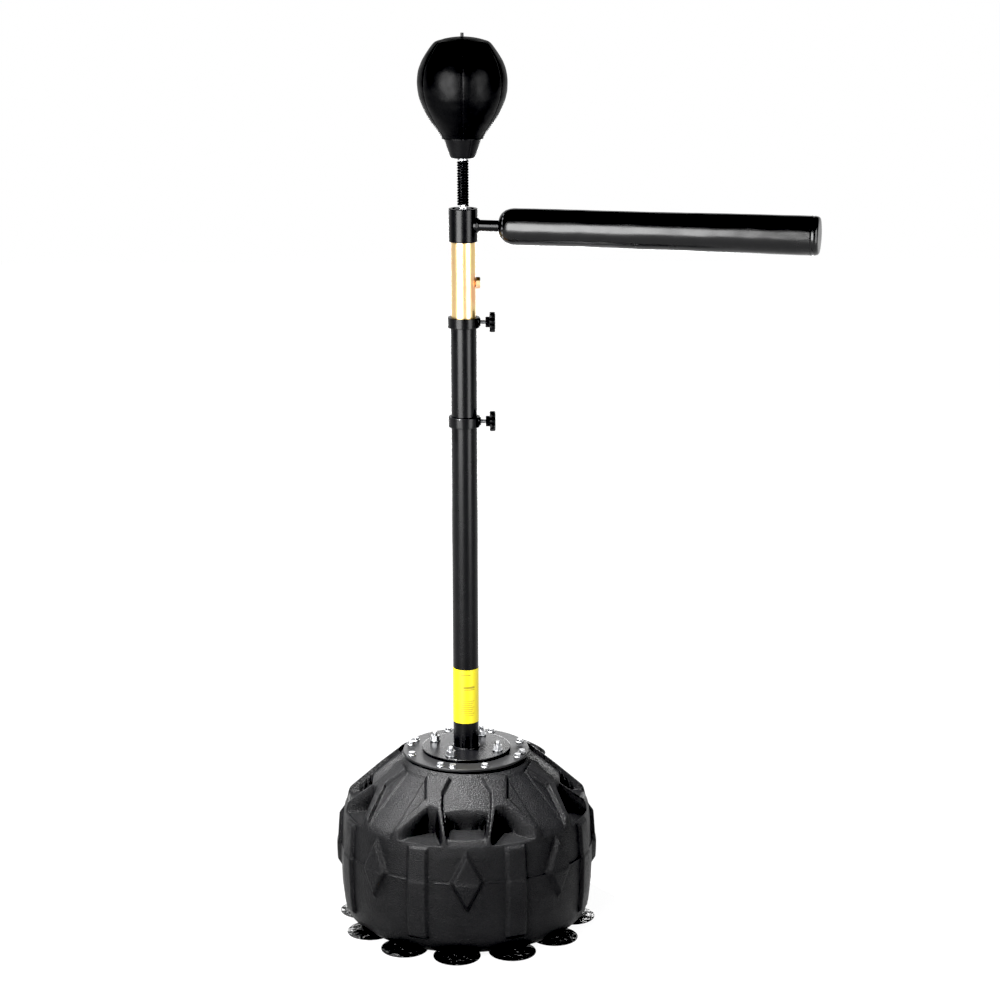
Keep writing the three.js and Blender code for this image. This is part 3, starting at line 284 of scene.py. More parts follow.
def hex_head(name, flats, bottom, top, hole=0.0, dome=0.7):
    """A hexagon with its corners turned off at the top, as a forged head or nut."""
    corners = 48
    radius = flats / math.sqrt(3)
    loops = []
    rings = ((bottom, 1.0), (top - dome * 1.6, 1.0), (top - dome * 0.6, 0.965), (top, 0.885))
    for z, limit in rings:
        loop = []
        for i in range(corners):
            angle = i * 2 * math.pi / corners
            fold = (angle + math.pi / 6) % (math.pi / 3) - math.pi / 6
            reach = min(flats / 2 / math.cos(math.pi / 6 - abs(fold)), radius * limit)
            loop.append((reach * math.cos(angle), reach * math.sin(angle), z))
        loops.append(loop)
    obj = stack(name, loops, 28)
    if hole:
        boolean(obj, peg(hole, bottom - 5, top + 5), "DIFFERENCE", 28)
    return obj


def thread_profile(radius, start, end, pitch=1.25, depth=0.55):
    """Outer outline of a screw thread as rings, from one height to another."""
    rows = []
    z = start
    while z + pitch <= end:
        rows += [(radius - depth, z), (radius, z + pitch * 0.45), (radius, z + pitch * 0.55)]
        z += pitch
    return rows


def round_pole(r, degrees, z):
    """Points at radii, at angles from the front towards +X, and at heights."""
    turn = np.radians(degrees)
    return np.stack([r * np.sin(turn), -r * np.cos(turn), z], -1).reshape(-1, 3)


def vertex_points(obj):
    """An object's points in millimetres."""
    flat = np.zeros(len(obj.data.vertices) * 3)
    obj.data.vertices.foreach_get("co", flat)
    return flat.reshape(-1, 3) / MM


def set_vertex_points(obj, points):
    obj.data.vertices.foreach_set("co", (points * MM).ravel())


def noise_at(points, scale, seed):
    """Smooth noise in -1..1 at points in millimetres."""
    shift = Vector((seed * 17.3, seed * 5.1, seed * 9.7))
    return np.array([noise.noise(Vector(p) * scale + shift) for p in points])


def smooth01(x):
    x = np.clip(x, 0, 1)
    return x * x * (3 - 2 * x)


def inside_distance(x, y, outline):
    """How far inside a flat outline each point is; negative outside."""
    nearest = np.full(x.shape, 1e9)
    inside = np.zeros(x.shape, bool)
    for (x0, y0), (x1, y1) in zip(outline, outline[1:] + outline[:1]):
        ex, ey = x1 - x0, y1 - y0
        t = np.clip(((x - x0) * ex + (y - y0) * ey) / (ex * ex + ey * ey), 0, 1)
        nearest = np.minimum(nearest, np.hypot(x - x0 - t * ex, y - y0 - t * ey))
        crosses = (y0 > y) != (y1 > y)
        inside ^= crosses & (x < ex * (y - y0) / (ey if ey else 1e-9) + x0)
    return np.where(inside, nearest, -nearest)


# ---- Materials ----

def node(tree, kind, **inputs):
    made = tree.nodes.new(kind)
    for key, value in inputs.items():
        if key in made.inputs:
            made.inputs[key].default_value = value
        else:
            setattr(made, key, value)
    return made


def feed(tree, target, values):
    """Links or sets a node's inputs, by name or number."""
    for key, value in values.items():
        if isinstance(value, bpy.types.NodeSocket):
            tree.links.new(value, target.inputs[key])
        else:
            target.inputs[key].default_value = value


def math_node(tree, operation, *values):
    made = node(tree, "ShaderNodeMath", operation=operation)
    feed(tree, made, dict(enumerate(values)))
    return made.outputs[0]


def object_coords(tree):
    return tree.nodes.new("ShaderNodeTexCoord").outputs["Object"]


def noise_node(tree, coords, scale, detail=3.0, roughness=0.55):
    made = node(tree, "ShaderNodeTexNoise", Scale=scale, Detail=detail, Roughness=roughness)
    tree.links.new(coords, made.inputs["Vector"])
    return made.outputs["Fac"]


def remap(tree, value, low_value, high_value, start=0.3, end=0.7):
    made = node(tree, "ShaderNodeMapRange")
    feed(tree, made, {"Value": value, "From Min": start, "From Max": end, "To Min": low_value,
                      "To Max": high_value})
    return made.outputs["Result"]


def mixed(tree, factor, a, b, blend="MIX"):
    made = node(tree, "ShaderNodeMix", data_type="RGBA", blend_type=blend)
    feed(tree, made, {0: factor, 6: a, 7: b})
    return made.outputs[2]


def surface(name, colour, second=None, patch=14.0, rough=(0.3, 0.45), rough_scale=60.0,
            metallic=0.0, coat=0.0, coat_rough=0.1, specular=0.5, bumps=(), stretch=(1, 1, 1)):
    """A procedural finish: two tones in patches, uneven roughness and layered relief."""
    material = bpy.data.materials.new(name)
    material.use_nodes = True
    tree = material.node_tree
    shader = tree.nodes["Principled BSDF"]
    scaled = node(tree, "ShaderNodeVectorMath", operation="MULTIPLY")
    feed(tree, scaled, {0: object_coords(tree), 1: stretch})
    coords = scaled.outputs[0]
    tone = remap(tree, noise_node(tree, coords, patch), 0.0, 1.0)
    other = second or [c * 1.5 for c in colour]
    feed(tree, shader, {
        "Base Color": mixed(tree, tone, (*colour, 1.0), (*other, 1.0)),
        "Roughness": remap(tree, noise_node(tree, coords, rough_scale, 5.0), *rough),
        "Metallic": metallic,
        "Specular IOR Level": specular,
        "Coat Weight": coat,
        "Coat Roughness": coat_rough,
    })
    normal = None
    for scale, distance, strength in bumps:
        bump = node(tree, "ShaderNodeBump", Distance=distance, Strength=strength)
        tree.links.new(noise_node(tree, coords, scale, 2.0), bump.inputs["Height"])
        if normal:
            tree.links.new(normal, bump.inputs["Normal"])
        normal = bump.outputs["Normal"]
    if normal:
        tree.links.new(normal, shader.inputs["Normal"])
    return material


def tinted_zinc(name):
    """Yellow passivated zinc: gold with faint pink and green bands."""
    material = surface(name, (0.84, 0.59, 0.30), (0.92, 0.71, 0.42), 9.0, (0.26, 0.32), 90.0, 1.0,
                       bumps=((500.0, 0.0002, 0.12),), stretch=(1, 1, 0.25))
    tree = material.node_tree
    shader = tree.nodes["Principled BSDF"]
    base = shader.inputs["Base Color"].links[0].from_socket
    drift = noise_node(tree, object_coords(tree), 22.0, 4.0)
    ramp = tree.nodes.new("ShaderNodeValToRGB")
    ramp.color_ramp.elements[0].position = 0.38
    ramp.color_ramp.elements[0].color = (1.0, 0.72, 0.66, 1)
    ramp.color_ramp.elements[1].position = 0.62
    ramp.color_ramp.elements[1].color = (1.0, 0.98, 0.72, 1)
    middle = ramp.color_ramp.elements.new(0.5)
    middle.color = (1.0, 0.97, 0.88, 1)
    tree.links.new(drift, ramp.inputs["Fac"])
    tinted = mixed(tree, 0.75, base, ramp.outputs["Color"], "MULTIPLY")
    feed(tree, shader, {"Base Color": tinted})
    return material


def printed_label(name):
    """Yellow film with blank dark bars where a real label has print, and no lettering."""
    material = surface(name, (0.42, 0.34, 0.0008), (0.46, 0.40, 0.0015), 30.0, (0.32, 0.44), 120.0,
                       bumps=((260.0, 0.0002, 0.08),))
    tree = material.node_tree
    shader = tree.nodes["Principled BSDF"]
    base = shader.inputs["Base Color"].links[0].from_socket
    split = tree.nodes.new("ShaderNodeSeparateXYZ")
    tree.links.new(object_coords(tree), split.inputs[0])

    def band(axis, centre, half):
        away = math_node(tree, "SUBTRACT", split.outputs[axis], centre)
        return math_node(tree, "LESS_THAN", math_node(tree, "ABSOLUTE", away), half)

    total = None
    top = high("pole_label").z * MM
    bars = [(0.0105, 0.0011, 0.0, 0.0095), (0.036, 0.0022, 0.006, 0.011),
            (0.0405, 0.0008, 0.006, 0.011)]
    bars += [(0.064 + 0.0042 * i, 0.0006, 0.0, 0.0165 - 0.002 * (i % 3)) for i in range(8)]
    for drop, half_height, middle, half_width in bars:
        bar = math_node(tree, "MULTIPLY", band("Z", top - drop, half_height),
                        band("X", middle, half_width))
        total = bar if total is None else math_node(tree, "MAXIMUM", total, bar)
    faint = math_node(tree, "MULTIPLY", total, 0.6)
    feed(tree, shader, {"Base Color": mixed(tree, faint, base, (0.04, 0.025, 0.0, 1))})
    return material


FINISH = {}


def add_finish(name, *settings, **more):
    FINISH[name] = surface(name, *settings, **more)


add_finish("tub_plastic", (0.0040, 0.0040, 0.0043), (0.0060, 0.0060, 0.0064), 11.0, (0.33, 0.44),
           35.0, specular=0.13, bumps=((380.0, 0.0022, 0.8), (900.0, 0.0008, 0.5)))
add_finish("black_paint", (0.0028, 0.0028, 0.0031), (0.0042, 0.0042, 0.0046), 25.0, (0.25, 0.28),
           60.0, specular=0.2, bumps=((160.0, 0.0001, 0.02),))
add_finish("zinc", (0.30, 0.31, 0.32), (0.40, 0.40, 0.41), 120.0, (0.3, 0.42), 300.0, 1.0,
           bumps=((900.0, 0.00005, 0.1),))
FINISH["yellow_zinc"] = tinted_zinc("yellow_zinc")
add_finish("knob_plastic", (0.003, 0.003, 0.0033), None, 60.0, (0.3, 0.42), 200.0, specular=0.13,
           bumps=((900.0, 0.0002, 0.2),))
add_finish("cap_plastic", (0.0035, 0.0035, 0.0038), None, 40.0, (0.3, 0.42), 150.0, specular=0.2,
           bumps=((700.0, 0.0002, 0.2),))
add_finish("seal_rubber", (0.006, 0.006, 0.006), None, 90.0, (0.7, 0.85), 300.0, specular=0.2,
           bumps=((900.0, 0.0003, 0.3),))
add_finish("cup_plastic", (0.0022, 0.0022, 0.0025), (0.004, 0.004, 0.0043), 50.0, (0.2, 0.34),
           110.0, specular=0.35, bumps=((60.0, 0.02, 1.0), (220.0, 0.003, 0.6)))
add_finish("spring_steel", (0.0035, 0.0035, 0.0038), None, 80.0, (0.3, 0.42), 300.0, specular=0.06,
           bumps=((800.0, 0.0002, 0.15),))
add_finish("cup_cone_plastic", (0.0032, 0.0032, 0.0035), (0.005, 0.005, 0.0053), 30.0, (0.3, 0.4),
           90.0, specular=0.14, bumps=((260.0, 0.0005, 0.15),))
add_finish("bar_vinyl", (0.0016, 0.0016, 0.0018), (0.0026, 0.0026, 0.0028), 8.0, (0.22, 0.28), 45.0,
           specular=0.36, coat=0.03, coat_rough=0.14,
           bumps=((9.0, 0.006, 0.12), (420.0, 0.0002, 0.12)))
add_finish("ball_leather", (0.0018, 0.0018, 0.002), (0.003, 0.003, 0.0032), 18.0, (0.36, 0.46),
           60.0, specular=0.1, bumps=((28.0, 0.003, 0.18), (380.0, 0.0004, 0.3)))
add_finish("bladder_rubber", (0.006, 0.006, 0.006), None, 60.0, (0.45, 0.6), 200.0,
           bumps=((500.0, 0.0002, 0.2),))
add_finish("bearing_steel", (0.5, 0.51, 0.53), (0.62, 0.62, 0.63), 150.0, (0.14, 0.24), 400.0, 1.0,
           bumps=((1200.0, 0.0001, 0.1),))
add_finish("foam", (0.1, 0.1, 0.105), (0.14, 0.14, 0.145), 220.0, (0.85, 0.97), 400.0,
           bumps=((700.0, 0.001, 0.6),))
add_finish("water", (0.16, 0.23, 0.27), None, 5.0, (0.04, 0.08), 20.0, bumps=((12.0, 0.002, 0.1),))
FINISH["label"] = printed_label("label")
STITCH = surface("stitch_thread", (0.006, 0.006, 0.006), (0.012, 0.012, 0.012), 400.0, (0.5, 0.7),
                 900.0, specular=0.2, bumps=((2500.0, 0.0002, 0.5),))


def paint_recess_shade(material, reach):
    """Paints shade into the finish: colour and specular level fall off in deep pockets and
    crevices, by ambient occlusion.
    """
    tree = material.node_tree
    shader = tree.nodes["Principled BSDF"]
    base = shader.inputs["Base Color"].links[0].from_socket
    occlusion_shade = node(tree, "ShaderNodeAmbientOcclusion", Distance=reach)
    occlusion_shade.samples = 6
    unshaded_share = remap(tree, occlusion_shade.outputs["AO"], 0.05, 1.0, 0.35, 0.95)
    # Painted shade: the base colour goes to near-black and the specular level drops where the
    # pockets are occluded.
    feed(tree, shader, {
        "Base Color": mixed(tree, unshaded_share, (0.0008, 0.0008, 0.0008, 1), base),
        "Specular IOR Level": remap(tree, occlusion_shade.outputs["AO"], 0.02, 0.13, 0.35, 0.9),
    })


# Painted shade in the tub's pockets and crevices.
paint_recess_shade(FINISH["tub_plastic"], 0.07)
PLATE_FINISH = surface("plate_paint", (0.004, 0.004, 0.0043), (0.0056, 0.0056, 0.006), 25.0,
                       (0.42, 0.52), 140.0, specular=0.24, bumps=((220.0, 0.0001, 0.05),))

for part in frame["record"]["subparts"]:
    for material_slot in frame["nodes"][part["node"]].material_slots:
        material_slot.material = FINISH[part["material_slot"]]


def fit_out(obj, body, slot_name, *stands_for, finish=None):
    """Gives a finished piece its finish, its body and the nodes it stands for."""
    obj.data.materials.clear()
    obj.data.materials.append(finish or FINISH[slot_name])
    if body:
        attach(obj, body)
    if stands_for:
        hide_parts(*stands_for)
    return obj


# ---- Ballast tub ----

RIM_Z = 246.0
RIM_RADIUS = 237.0
PART_LINE_Z = 164.0
WALL_RADIUS = 251.0
SLOPE = math.atan2(TUB_TOP - RIM_Z, WALL_RADIUS - PLATE_RADIUS)
TUB_OUTLINE = [
    (0, 0), (110, 0), (122, 12), (222, 12), (232, 17), (240.5, 26), (245, 40), (249.5, 82),
    (WALL_RADIUS, 130), (251.4, PART_LINE_Z), (249.6, PART_LINE_Z + 2), (246, 216), (243, 236),
    (RIM_RADIUS, RIM_Z),
    (PLATE_RADIUS + 1, TUB_TOP - 3), (PLATE_RADIUS - 2, TUB_TOP), (0, TUB_TOP),
]
ARM_PAD = [(80, 116), (80, 172), (58, 186), (44, 250), (36, 250), (46, 186), (46, 158), (30, 134)]
FIN_PAD = [(80, 158), (148, 194), (142, 206), (68, 177)]
MIDDLE_POCKET = [(-40.5, 186), (40.5, 186), (34.5, 262), (-34.5, 262)]
SIDE_POCKET = [(57, 184), (74, 176), (138, 203), (150, 262), (41, 262)]
PAD_RISE = 10.5
FILLER_RADIUS = (RIM_RADIUS + PLATE_RADIUS) / 2
FILLER_Z = (TUB_TOP + RIM_Z) / 2
FILLER_TURN = 135
FAR = 1000.0


def tub_rows():
    """Radius and height of each ring of the tub's skin, with its corners eased."""
    outline = np.array(TUB_OUTLINE, float)
    steps = np.hypot(*np.diff(outline, axis=0).T)
    walk = np.concatenate([[0], np.cumsum(steps)])
    fine = np.arange(0, walk[-1], 0.5)
    r = np.interp(fine, walk, outline[:, 0])
    z = np.interp(fine, walk, outline[:, 1])
    weights = np.exp(-((np.arange(-24, 25) * 0.5 / 3.0) ** 2))
    weights /= weights.sum()
    r, z = (np.convolve(np.pad(v, 24, mode="reflect", reflect_type="odd"), weights, "valid")
            for v in (r, z))
    spots = np.concatenate([
        np.arange(12, 104, 12), np.arange(104, 130, 3), np.arange(130, 214, 12),
        np.arange(214, 262, 3), np.arange(262, 610, 2.2), np.arange(610, 626, 3),
        np.arange(626, walk[-1] - 8, 12),
    ])
    return np.interp(spots, fine, r), np.interp(spots, fine, z)


def shoulder_rise(r, turn, plain):
    """Height added to the plain shoulder by pads, pockets and creases."""
    fold = (turn + 45) % 90 - 45
    across = np.abs(r * np.sin(np.radians(fold)))
    out = r * np.cos(np.radians(fold))
    pad = np.maximum(inside_distance(across, out, ARM_PAD), inside_distance(across, out, FIN_PAD))
    rise = PAD_RISE * smooth01((pad + 1.5) / 4.5)
    facet = inside_distance(np.abs(fold), r, [(34.2, 138), (37.2, 262), (60, 262), (60, 138)])
    rise -= 1.6 * smooth01(facet / 3.0 + 0.5)
    rise += 1.3 * np.exp(-((facet * 2.2) ** 2)) * (r > 140)
    for outline, back, lip in ((MIDDLE_POCKET, 252, 246), (SIDE_POCKET, 245, 234.5)):
        floor = back + (lip - back) * np.clip((r - 186) / 64, 0, 1)
        depth = np.clip(plain - floor, 0, None)
        share = smooth01((inside_distance(across, out, outline) + 0.5) / 4.5)
        rise = rise * (1 - share) - depth * share
    return rise


def wall_push(z, turn, radius):
    """Distance added to the wall by ribs, diamonds and the parting line."""
    rib = ((turn - 22.5 + 22.5) % 45 - 22.5) * math.pi / 180 * radius
    rib_inside = np.minimum(np.minimum(21.0 - np.abs(rib), z - 47.0), 232.5 - z)
    push = 6.0 * smooth01((rib_inside + 1.5) / 5.5)
    side = ((turn + 22.5) % 45 - 22.5) * math.pi / 180 * radius
    outline = [(0, 232.5), (32, PART_LINE_Z + 4), (0, 106.5), (-32, PART_LINE_Z + 4)]
    diamond = np.clip((inside_distance(side, z, outline) + 0.6) / 7.0, 0, 1)
    push = np.maximum(push, 8.0 * (0.75 * diamond + 0.25 * smooth01(diamond)))
    line = np.exp(-(((z - PART_LINE_Z) / 1.5) ** 2)) * (push < 0.5)
    groove = np.exp(-(((z - PART_LINE_Z - 2.6) / 1.3) ** 2)) * (push < 0.5)
    return push + 0.8 * line - 1.2 * groove


def tub_shell():
    sides = 512
    r, z = tub_rows()
    turn = np.arange(sides) * 360.0 / sides
    R, T = np.meshgrid(r, turn, indexing="ij")
    Z = np.meshgrid(z, turn, indexing="ij")[0]
    shoulder = smooth01((Z - 233) / 11.0) * smooth01((R - 127) / 6.0)
    upper = (Z > 120) & (R < 262)
    rise = np.where(upper, shoulder_rise(R, T, Z), 0) * shoulder
    wall = smooth01((Z - 36) / 12.0) * smooth01((R - 232) / 6.0)
    push = wall_push(Z, T, WALL_RADIUS) * wall * smooth01((243.0 - Z) / 6.0)
    away = np.radians(T - FILLER_TURN)
    along_slope = (R * np.cos(away) - FILLER_RADIUS) / math.cos(SLOPE)
    from_filler = np.where(np.cos(away) > 0, np.hypot(along_slope, R * np.sin(away)), FAR)
    neck = smooth01((33.8 - from_filler) / 2.0)
    flat = -along_slope * math.sin(SLOPE) + FILLER_Z + 5.0 / math.cos(SLOPE)
    Z = Z + rise
    Z = np.where((neck > 0) & (Z > 200), Z * (1 - neck) + flat * neck, Z)
    R = R + push
    faces = grid_faces(len(r), sides)
    points = list(map(tuple, round_pole(R, T, Z)))
    close_ends(points, faces, sides, ((0.0, 0), (TUB_TOP, len(r) - 1)))
    return mesh_object("tub_shell", points, faces, None)


def tub_hollow():
    deck = high("water_ballast").z + 0.3
    outline = [
        (0, 17), (190, 17), (196, 29), (217, 29), (235, 34), (244, 82), (242, 216), (230, 236),
        (184.3, 241.3), (118.3, deck), (0, deck),
    ]
    return lathe("hollow", outline, 96)


def filler_frame():
    """Matrix from the filler's own frame, z = 0 on the shoulder and +Z square out of it."""
    turn = Matrix.Rotation(math.radians(FILLER_TURN), 4, "Z")
    place = Matrix.Translation((0, -FILLER_RADIUS * MM, FILLER_Z * MM))
    return turn @ place @ Matrix.Rotation(SLOPE, 4, "X")


def place_round(obj, radius, degrees):
    """Moves a part made on the pole axis out to a radius, at an angle from +X."""
    turn = Matrix.Rotation(math.radians(degrees), 4, "Z")
    return transformed(obj, turn @ Matrix.Translation((radius * MM, 0, 0)))


CUP_TURNS = [-5.5 + 30 * i for i in range(12)]
SCREW_TURNS = [18.5, 63.5, 108.5, 153.5, 198.5, 243.5, 288.5, 333.5, 76.5, 166.5, 256.5, 346.5]
STUD_TURNS = [64 + 90 * i for i in range(4)]


def make_tub():
    tub = tub_shell()
    cutters = [tub_hollow()]
    cutters += [place_round(peg(7.9, -3, 24.3, 24), CUP_RING, turn - 90) for turn in CUP_TURNS]
    cutters += [place_round(peg(3.3, 328, 346, 16), SCREW_RING, turn) for turn in SCREW_TURNS]
    boolean(tub, joined("cutters", cutters), "DIFFERENCE", None)
    mouth = transformed(peg(22, -40, 20, 64), filler_frame())
    boolean(tub, mouth, "DIFFERENCE", 50)
    return fit_out(tub, "base", "tub_plastic", "base_tub")


def make_cup(index, turn):
    sides = 96
    profile = rounded([
        (0, 5.4), (41, 0.5), (43, 0), (46, 0), (46, 1.5), (30, 5.2), (12.6, 10.7), (7.6, 11.5),
        (7.6, 23.6), (0, 23.6),
    ], 0.8)
    cup = lathe("suction_cup_skin_%02d" % (index + 1), profile, sides, 40)
    points = vertex_points(cup)
    x, y, z = points.T
    r = np.hypot(x, y)
    angle = np.arctan2(y, x)
    ripple = 0.35 * np.sin(9 * angle + index) + 0.3 * np.sin(17 * angle + 2.2 * index)
    ripple += 0.25 * np.sin(5 * angle + r * 0.35 + index)
    points[:, 2] += ripple * smooth01((r - 12) / 8) * smooth01((46 - r) / 4) * (z > 1.0)
    set_vertex_points(cup, points)
    place_round(cup, CUP_RING, turn - 90)
    return fit_out(cup, "base", "cup_plastic", "suction_cup_%02d" % (index + 1))


def make_filler():
    seal = lathe("filler_gasket", rounded([(23, 5.3), (28, 5.3), (28, 7.3), (23, 7.3)], 0.5), 64)
    fit_out(transformed(seal, filler_frame()), "filler_seal_ring", "seal_rubber", "filler_seal")
    profile = rounded([
        (0, 7.6), (18.7, 7.6), (18.7, -4.4), (21.6, -4.4), (21.6, 7.6), (31, 7.6), (31, 14.2),
        (28.5, 16.6), (0, 16.6),
    ], 0.9)
    cap = lathe("filler_cap_skin", profile, 96)
    notches = []
    for i in range(8):
        notch = transformed(peg(3, 6, 18, 20), Matrix.Translation((32.5 * MM, 0, 0)))
        notches.append(transformed(notch, Matrix.Rotation(i * math.pi / 4, 4, "Z")))
    boolean(cap, joined("notches", notches), "DIFFERENCE", 35)
    fit_out(transformed(cap, filler_frame()), "filler_cap_top", "cap_plastic", "filler_cap")


# ---- Plate, screws and pole ----

DISC_TOP = DISC_BOTTOM + 6.0
PLATE_TOP = PLATE_BOTTOM + 6.0


def make_plate():
    outline = [(0, PLATE_BOTTOM), (PLATE_RADIUS, PLATE_BOTTOM), (PLATE_RADIUS, PLATE_TOP),
               (0, PLATE_TOP)]
    plate = lathe("top_plate_skin", rounded(outline, 1.1), 160)
    holes = [place_round(peg(3.3, PLATE_BOTTOM - 4, PLATE_TOP + 4, 20), SCREW_RING, turn)
             for turn in SCREW_TURNS]
    boolean(plate, joined("holes", holes), "DIFFERENCE")
    studs = []
    top = high("top_plate").z - 4.5
    for turn in STUD_TURNS:
        outline = [(0, PLATE_TOP + 0.2), (4.4, PLATE_TOP + 0.2)]
        outline += [*thread_profile(5, DISC_BOTTOM + 1, top - 1.2), (4.2, top), (0, top)]
        studs.append(place_round(lathe("stud", outline, 24), STUD_RING, turn))
    fit_out(joined("plate_studs", studs, 32), "base", "zinc", "top_plate")
    return fit_out(plate, "base", "black_paint", "top_plate", finish=PLATE_FINISH)


def make_plate_screws():
    seat = PLATE_TOP + 0.3
    for i, turn in enumerate(SCREW_TURNS):
        flange = rounded([(0, seat - 20), (3, seat - 20), (3, seat), (7.9, seat), (7.9, seat + 1),
                          (6.2, seat + 2), (0, seat + 2)], 0.25, 2)
        screw = lathe("screw_head_%02d" % (i + 1), flange, 28)
        boolean(screw, hex_head("hex", 12, seat + 1.2, seat + 6.2), "UNION", 28)
        transformed(screw, Matrix.Rotation(i * 1.3, 4, "Z"))
        fit_out(place_round(screw, SCREW_RING, turn), "base", "zinc", "plate_screw_%02d" % (i + 1))


def make_foot_nuts():
    seat = DISC_TOP + 0.3
    for i, turn in enumerate(STUD_TURNS):
        washer = lathe("foot_nut_skin_%02d" % (i + 1), rounded(
            [(5.4, seat), (10, seat), (10, seat + 2), (5.4, seat + 2)], 0.3, 2), 32)
        nut = hex_head("hex", 16, seat + 1.6, seat + 11, 5.4)
        boolean(washer, nut, "UNION", 28)
        transformed(washer, Matrix.Rotation(0.4 + i * 0.9, 4, "Z"))
        fit_out(place_round(washer, STUD_RING, turn), "base", "zinc", "foot_nut_%02d" % (i + 1))


def weld_bead(radius, height, leg=3.6):
    """A ring of overlapping weld ripples in the corner between a tube and a face."""
    sides, around_bead = 144, 8
    points = []
    for i in range(sides):
        angle = i * 2 * math.pi / sides
        swell = leg * (0.86 + 0.14 * abs(math.sin(angle * 18)))
        for k in range(around_bead):
            a = k * 2 * math.pi / around_bead
            rr = radius + 0.6 + swell * 0.62 * math.cos(a)
            zz = height + 0.4 + swell * 0.62 * math.sin(a)
            points.append((rr * math.cos(angle), rr * math.sin(angle), zz))
    faces = grid_faces(sides, around_bead, wrap_rows=True)
    return mesh_object("bead", points, faces, 60)


def boss(collar_top):
    middle = collar_top - COLLAR_HEIGHT / 2
    start = TUBE_RADIUS - 0.5
    outline = rounded([(0, start), (8, start), (8, BOSS_REACH), (0, BOSS_REACH)], 0.8)
    return along_x(lathe("boss", outline, 48), middle)


def screw_hole(collar_top):
    return along_x(peg(4.3, 10, BOSS_REACH + 2, 32), collar_top - COLLAR_HEIGHT / 2)


def make_lower_pole():
    inside = TUBE_RADIUS - 1.2
    outline = [
        (inside, DISC_BOTTOM), (DISC_RADIUS, DISC_BOTTOM), (DISC_RADIUS, DISC_TOP),
        (TUBE_RADIUS, DISC_TOP), (TUBE_RADIUS, LOWER_TOP - COLLAR_HEIGHT),
        (COLLAR_RADIUS, LOWER_TOP - COLLAR_HEIGHT),
        (COLLAR_RADIUS, LOWER_TOP), (inside, LOWER_TOP),
    ]
    pole = lathe("lower_pole_skin", rounded(outline, 0.9), 128)
    holes = [place_round(peg(5.3, PLATE_TOP - 2, DISC_TOP + 4, 24), STUD_RING, turn)
             for turn in STUD_TURNS]
    boolean(pole, joined("holes", holes), "DIFFERENCE")
    boolean(pole, weld_bead(TUBE_RADIUS, DISC_TOP), "UNION")
    boolean(pole, boss(LOWER_TOP), "UNION")
    boolean(pole, screw_hole(LOWER_TOP), "DIFFERENCE")
    return fit_out(pole, "base", "black_paint", "lower_pole")


def make_middle_tube():
    spigot_in, tube_in = INNER_RADIUS - 1.5, TUBE_RADIUS - 1.2
    bottom, step = low("middle_tube").z, LOWER_TOP + 0.3
    outline = [
        (spigot_in, bottom), (INNER_RADIUS, bottom), (INNER_RADIUS, step), (TUBE_RADIUS, step),
        (TUBE_RADIUS, MIDDLE_TOP - COLLAR_HEIGHT), (COLLAR_RADIUS, MIDDLE_TOP - COLLAR_HEIGHT),
        (COLLAR_RADIUS, MIDDLE_TOP), (tube_in, MIDDLE_TOP), (tube_in, LOWER_TOP + 20),
        (spigot_in, LOWER_TOP + 20),
    ]
    tube = lathe("middle_tube_skin", rounded(outline, 0.7), 128)
    boolean(tube, boss(MIDDLE_TOP), "UNION")
    boolean(tube, screw_hole(MIDDLE_TOP), "DIFFERENCE")
    return fit_out(tube, "middle_section", "black_paint", "middle_tube")


def make_inner_tube():
    bottom = low("inner_tube").z
    bolt_z = (low("cross_bolt").z + high("cross_bolt").z) / 2
    outline = [(22, bottom), (INNER_RADIUS, bottom), (INNER_RADIUS, INNER_TOP), (22, INNER_TOP)]
    tube = lathe("inner_tube_skin", rounded(outline, 0.4), 128)
    boolean(tube, along_x(peg(6.3, -35, 35, 32), bolt_z), "DIFFERENCE")
    fit_out(tube, "upper_section", "yellow_zinc", "inner_tube")
    start = INNER_RADIUS + 0.3
    outline = [(0, -19), (6, -19), (6, start + 0.6), (0, start + 0.6)]
    bolt = lathe("cross_bolt_skin", rounded(outline, 0.7), 40)
    boolean(bolt, hex_head("hex", 19, start, start + 8, dome=1.1), "UNION", 28)
    fit_out(along_x(bolt, bolt_z), "upper_section", "yellow_zinc", "cross_bolt")


def make_label():
    sides, bottom, top = 72, low("pole_label").z, high("pole_label").z
    inner, outer = TUBE_RADIUS + 0.1, TUBE_RADIUS + 0.5
    loops = []
    for i in range(sides + 1):
        angle = math.radians(-100 + 200 * i / sides)
        ring = []
        for rr, zz in ((inner, bottom), (outer, bottom), (outer, top), (inner, top)):
            ring.append((rr * math.sin(angle), -rr * math.cos(angle), zz))
        loops.append(ring)
    return fit_out(stack("pole_label_skin", loops, 30), "base", "label", "pole_label")


def star_loop(inset, z):
    loop = []
    for i in range(140):
        angle = i * 2 * math.pi / 140
        wave = (1 + math.cos(7 * angle)) / 2
        radius = 19.5 - 4.2 * (1 - math.sqrt(wave)) - inset
        loop.append((radius * math.cos(angle), radius * math.sin(angle), z))
    return loop


